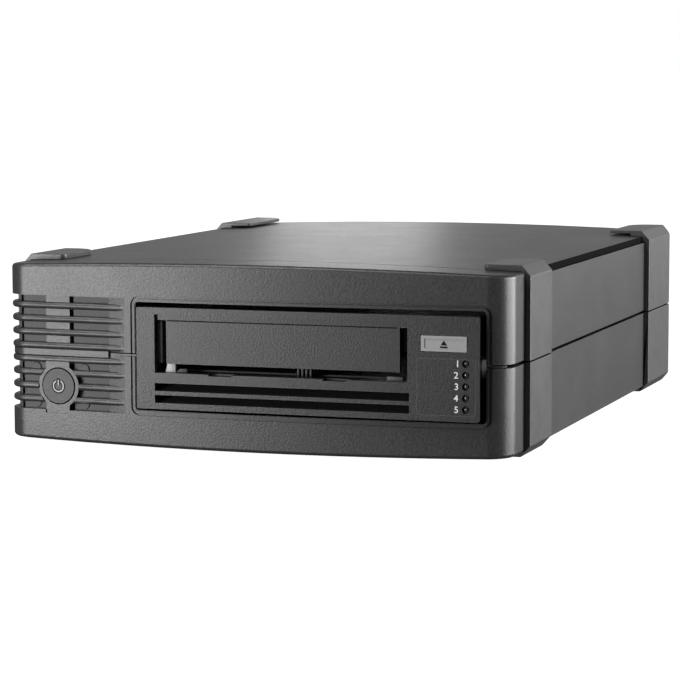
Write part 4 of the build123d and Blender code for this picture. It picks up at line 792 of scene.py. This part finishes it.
class CaseOperator(bpy.types.Operator):
    """Dresses the two shells, the bezel halves and the corner guards, with painted shade on the shells' and
    guards' faces in the seam and the channels.
    """

    bl_idname = "tape_drive.case"
    bl_label = "Case"

    def execute(self, context):
        # Shell and guard faces in the channels and the seam get painted shade; the bosses of the lower bezel
        # take the vent backing's colour.
        halves = (("upper", in_channel_or_seam, None), ("lower", in_seam, on_boss))
        for level, shell_shade_test, bezel_test in halves:
            dressed(f"{level}_shell", f"{level}_case_shell", shade_or_boss_test=shell_shade_test)
            dressed(f"front_bezel_{level}", f"{level}_front_bezel", shade_or_boss_test=bezel_test, shade_or_boss_finish="backing_plastic")
            for end in ("front", "rear"):
                for side in ("left", "right"):
                    node = f"guard_{level}_{end}_{side}"
                    dressed(node, f"{level}_{end}_{side}_corner_guard", GUARD_EDGE, shade_or_boss_test=in_seam)
        return {"FINISHED"}


class DriveFaceOperator(bpy.types.Operator):
    """Dresses the drive's face, its door and its keys."""

    bl_idname = "tape_drive.drive_face"
    bl_label = "Drive Face"

    def execute(self, context):
        names = {
            "drive_bezel": "drive_face",
            "cartridge_door": "door_flap",
            "eject_button": "eject_key",
            "power_button": "power_key",
        }
        for node, name in names.items():
            dressed(node, name)
        return {"FINISHED"}


class SlotOperator(bpy.types.Operator):
    """Makes the domes of the lights and the small pieces round the cartridge slot."""

    bl_idname = "tape_drive.slot"
    bl_label = "Lights and Slot"

    def execute(self, context):
        dressed("led_lenses", "light_domes", DOME_EDGE, segments=5, pick=on_lens_rim)
        white = moulded("tab_plastic", TAB_COLOUR, SMALL_GRAIN, 0.45, mottle=0.05)
        grey = moulded("guide_plastic", GUIDE_COLOUR, SMALL_GRAIN, 0.5)
        x = span(SLOT_LEFT, LEFT_GUIDE_ACROSS)
        slot_piece("slot_left_guide", grey, x, LEFT_GUIDE_BACK, span(DOOR_LOW.z, LEFT_GUIDE_ABOVE_FOOT))
        x = span(SLOT_RIGHT, RIGHT_GUIDE_ACROSS)
        slot_piece("slot_right_guide", grey, x, RIGHT_GUIDE_BACK, span(DOOR_LOW.z, RIGHT_GUIDE_ABOVE_FOOT))
        x = span(SLOT_LEFT, TAB_ACROSS)
        slot_piece("slot_tab", white, x, TAB_BACK, on_floor(TAB_HEIGHT), TAB_SLANT)
        x = span(SLOT_LEFT, WEDGE_ACROSS)
        slot_piece("slot_wedge", grey, x, TAB_BACK, on_floor(WEDGE_HEIGHT), WEDGE_SLANT)
        x = span(SLOT_RIGHT, REST_ACROSS)
        slot_piece("slot_rest", grey, x, REST_BACK, on_floor(REST_HEIGHT))
        for index in range(TOOTH_COUNT):
            x = span(SLOT_LEFT + TEETH_START + index * TOOTH_PITCH, (0, TOOTH_PITCH * TOOTH_SHARE))
            slot_piece(f"slot_tooth_{index + 1}", grey, x, TOOTH_BACK, on_floor(TOOTH_HEIGHT))
        return {"FINISHED"}


class MarksOperator(bpy.types.Operator):
    """Prints the numbers beside the lights, the line on the door and the symbols of the keys, paints the
    shade of the label field's groove as a dark line, and paints a highlight line into the power symbol.
    """

    bl_idname = "tape_drive.marks"
    bl_label = "Marks"

    def execute(self, context):
        marks = context.scene.tape_drive_marks
        ink = ink_finish("light_ink", marks.ink)
        dark = ink_finish("dark_ink", marks.dark_ink)
        highlight = ink_finish("painted_highlight_ink", marks.painted_highlight_ink)
        light_x = (LENS_LOW.x + LENS_HIGH.x) / 2
        radius = (LENS_HIGH.x - LENS_LOW.x) / 2
        pitch = (LENS_HIGH.z - LENS_LOW.z - 2 * radius) / (LIGHT_COUNT - 1)
        for index in range(LIGHT_COUNT):
            level = LENS_HIGH.z - radius - index * pitch
            place = (light_x - marks.digit_gap, level)
            form = numeral_form(str(index + 1), marks.digit_height)
            printed(f"light_number_{index + 1}", form, place, "drive_bezel", ink)
        x = (DOOR_LOW.x + DOOR_LINE_INSET, DOOR_HIGH.x - DOOR_LINE_INSET)
        line = bar_form(x, (-DOOR_LINE_HALF, DOOR_LINE_HALF), MARK_DEPTH)
        printed("door_top_line", line, (0, DOOR_HIGH.z - DOOR_LINE_DROP), "cartridge_door", dark)
        # Painted shade: a dark line of guide plastic stands in for the shade in the groove round the label
        # field.
        field = frame_form(*LABEL_SIZE, LABEL_RADIUS, LABEL_SHADE_LINE, MARK_DEPTH)
        place = (light_x - LABEL_LEFT, LENS_HIGH.z - LABEL_DROP)
        printed("label_groove_shade_line", field, place, "drive_bezel", bpy.data.materials["guide_plastic"])
        middle = (POWER_LOW + POWER_HIGH) / 2
        # The dark layer is the printed symbol; the pale line on it is a painted highlight of the embossed
        # edge.
        layers = (("edge", 0, dark, POWER_EDGE_LIFT), ("symbol", POWER_EDGES, highlight, POWER_HIGHLIGHT_LIFT))
        for name, shrink, finish, lift in layers:
            form = power_form(marks.symbol_radius, marks.symbol_stroke - shrink, MARK_DEPTH)
            printed(f"power_{name}", form, (middle.x, middle.z), "power_button", finish, lift)
        middle = (EJECT_LOW + EJECT_HIGH) / 2
        form = eject_form(marks.eject_width, MARK_DEPTH)
        printed("eject_symbol", form, (middle.x, middle.z), "eject_button", dark)
        return {"FINISHED"}


class StageOperator(bpy.types.Operator):
    """Sets the world, the floor, the camera and the lamps."""

    bl_idname = "tape_drive.stage"
    bl_label = "Stage"

    def execute(self, context):
        settings = context.scene.tape_drive_stage
        make_world(settings)
        make_floor()
        make_camera(settings)
        make_lamps(settings)
        context.scene.view_settings.view_transform = "Standard"
        return {"FINISHED"}


def make_world(settings):
    """White behind the object, and an even plain light on it."""
    world = bpy.data.worlds.new("studio")
    bpy.context.scene.world = world
    world.use_nodes = True
    shading = Shading(world.node_tree)
    background = world.node_tree.nodes["Background"].inputs
    shading.feed(background["Strength"], shading.seen() * (1 - settings.fill) + settings.fill)
    shading.feed(background["Color"], WHITE)


def make_floor():
    """A floor that the camera sees as plain white."""
    form = bmesh.new()
    bmesh.ops.create_grid(form, x_segments=1, y_segments=1, size=FLOOR_HALF)
    floor = in_scene("floor", mesh_from("floor", form))
    finish = Finish("floor")
    finish.set(
        Base_Color=FLOOR_COLOUR, Roughness=0.9, Emission_Color=WHITE, Emission_Strength=finish.seen())
    put_on(floor, finish.material)
    floor.visible_shadow = False
    floor.visible_glossy = False


def orbit(azimuth, elevation):
    """The direction from an aim point to the camera or a lamp."""
    level = math.cos(elevation)
    return Vector((math.sin(azimuth) * level, -math.cos(azimuth) * level, math.sin(elevation)))


def make_camera(settings):
    """A camera turned round the aim point, and rolled."""
    data = bpy.data.cameras.new("camera")
    data.lens = settings.lens
    data.sensor_width = SENSOR_WIDTH
    data.clip_start = 0.05
    data.clip_end = 50
    camera = in_scene("camera", data)
    camera.location = AIM + orbit(settings.azimuth, settings.elevation) * settings.distance
    look = AIM - camera.location
    turn = look.to_track_quat("-Z", "Y").to_matrix() @ Matrix.Rotation(settings.roll, 3, "Z")
    camera.rotation_euler = turn.to_euler()
    bpy.context.scene.camera = camera


def lamp(name, target, power, azimuth, elevation, distance, size):
    """A rectangular lamp that faces a point of the object: angles in degrees, lengths in metres."""
    data = bpy.data.lights.new(name, "AREA")
    data.shape = "RECTANGLE"
    data.size, data.size_y = size
    data.energy = power
    light = in_scene(name, data)
    direction = orbit(math.radians(azimuth), math.radians(elevation))
    light.location = target + direction * distance
    light.rotation_euler = (-direction).to_track_quat("-Z", "Y").to_euler()
    light.visible_camera = False


def make_lamps(settings):
    """A lamp that grazes the front from the left, one above it, one at the right and two behind."""
    front_left = Vector((CAD_BOX[0].x, CAD_BOX[0].y, CAD_BOX[1].z / 2))
    middle = (CAD_BOX[0] + CAD_BOX[1]) / 2
    lamp("key", front_left, settings.key, azimuth=-34, elevation=0, distance=1.15, size=(0.56, 0.5))
    lamp("top", middle, settings.top, azimuth=-40, elevation=50, distance=1.2, size=(0.8, 0.8))
    lamp("side", middle, settings.side, azimuth=110, elevation=10, distance=1.2, size=(1.4, 0.8))
    lamp("back", middle, settings.back, azimuth=199, elevation=9, distance=1.4, size=(0.17, 0.5))
    lamp("rear", middle, settings.rear, azimuth=185, elevation=9, distance=1.4, size=(2.4, 0.6))


OPERATORS = (FinishesOperator, CaseOperator, DriveFaceOperator, SlotOperator, MarksOperator, StageOperator)


class TapeDrivePanel(bpy.types.Panel):
    """Lists the steps and the settings that they use."""

    bl_label = "Tape Drive"
    bl_idname = "VIEW3D_PT_tape_drive"
    bl_space_type = "VIEW_3D"
    bl_region_type = "UI"
    bl_category = "Tape Drive"

    def draw(self, context):
        column = self.layout.column()
        for operator in OPERATORS:
            column.operator(operator.bl_idname)
        for settings in (
            context.scene.tape_drive_finish, context.scene.tape_drive_marks, context.scene.tape_drive_stage,
        ):
            for name in settings.__annotations__:
                column.prop(settings, name)


CLASSES = (FinishSettings, MarkSettings, StageSettings, *OPERATORS, TapeDrivePanel)


def register():
    for item in CLASSES:
        bpy.utils.register_class(item)
    bpy.types.Scene.tape_drive_finish = bpy.props.PointerProperty(type=FinishSettings)
    bpy.types.Scene.tape_drive_marks = bpy.props.PointerProperty(type=MarkSettings)
    bpy.types.Scene.tape_drive_stage = bpy.props.PointerProperty(type=StageSettings)


def unregister():
    del bpy.types.Scene.tape_drive_stage
    del bpy.types.Scene.tape_drive_marks
    del bpy.types.Scene.tape_drive_finish
    for item in reversed(CLASSES):
        bpy.utils.unregister_class(item)


def main():
    register()
    bpy.ops.tape_drive.finishes()
    bpy.ops.tape_drive.case()
    bpy.ops.tape_drive.drive_face()
    bpy.ops.tape_drive.slot()
    bpy.ops.tape_drive.marks()
    bpy.ops.tape_drive.stage()


if __name__ == "__main__":
    main()
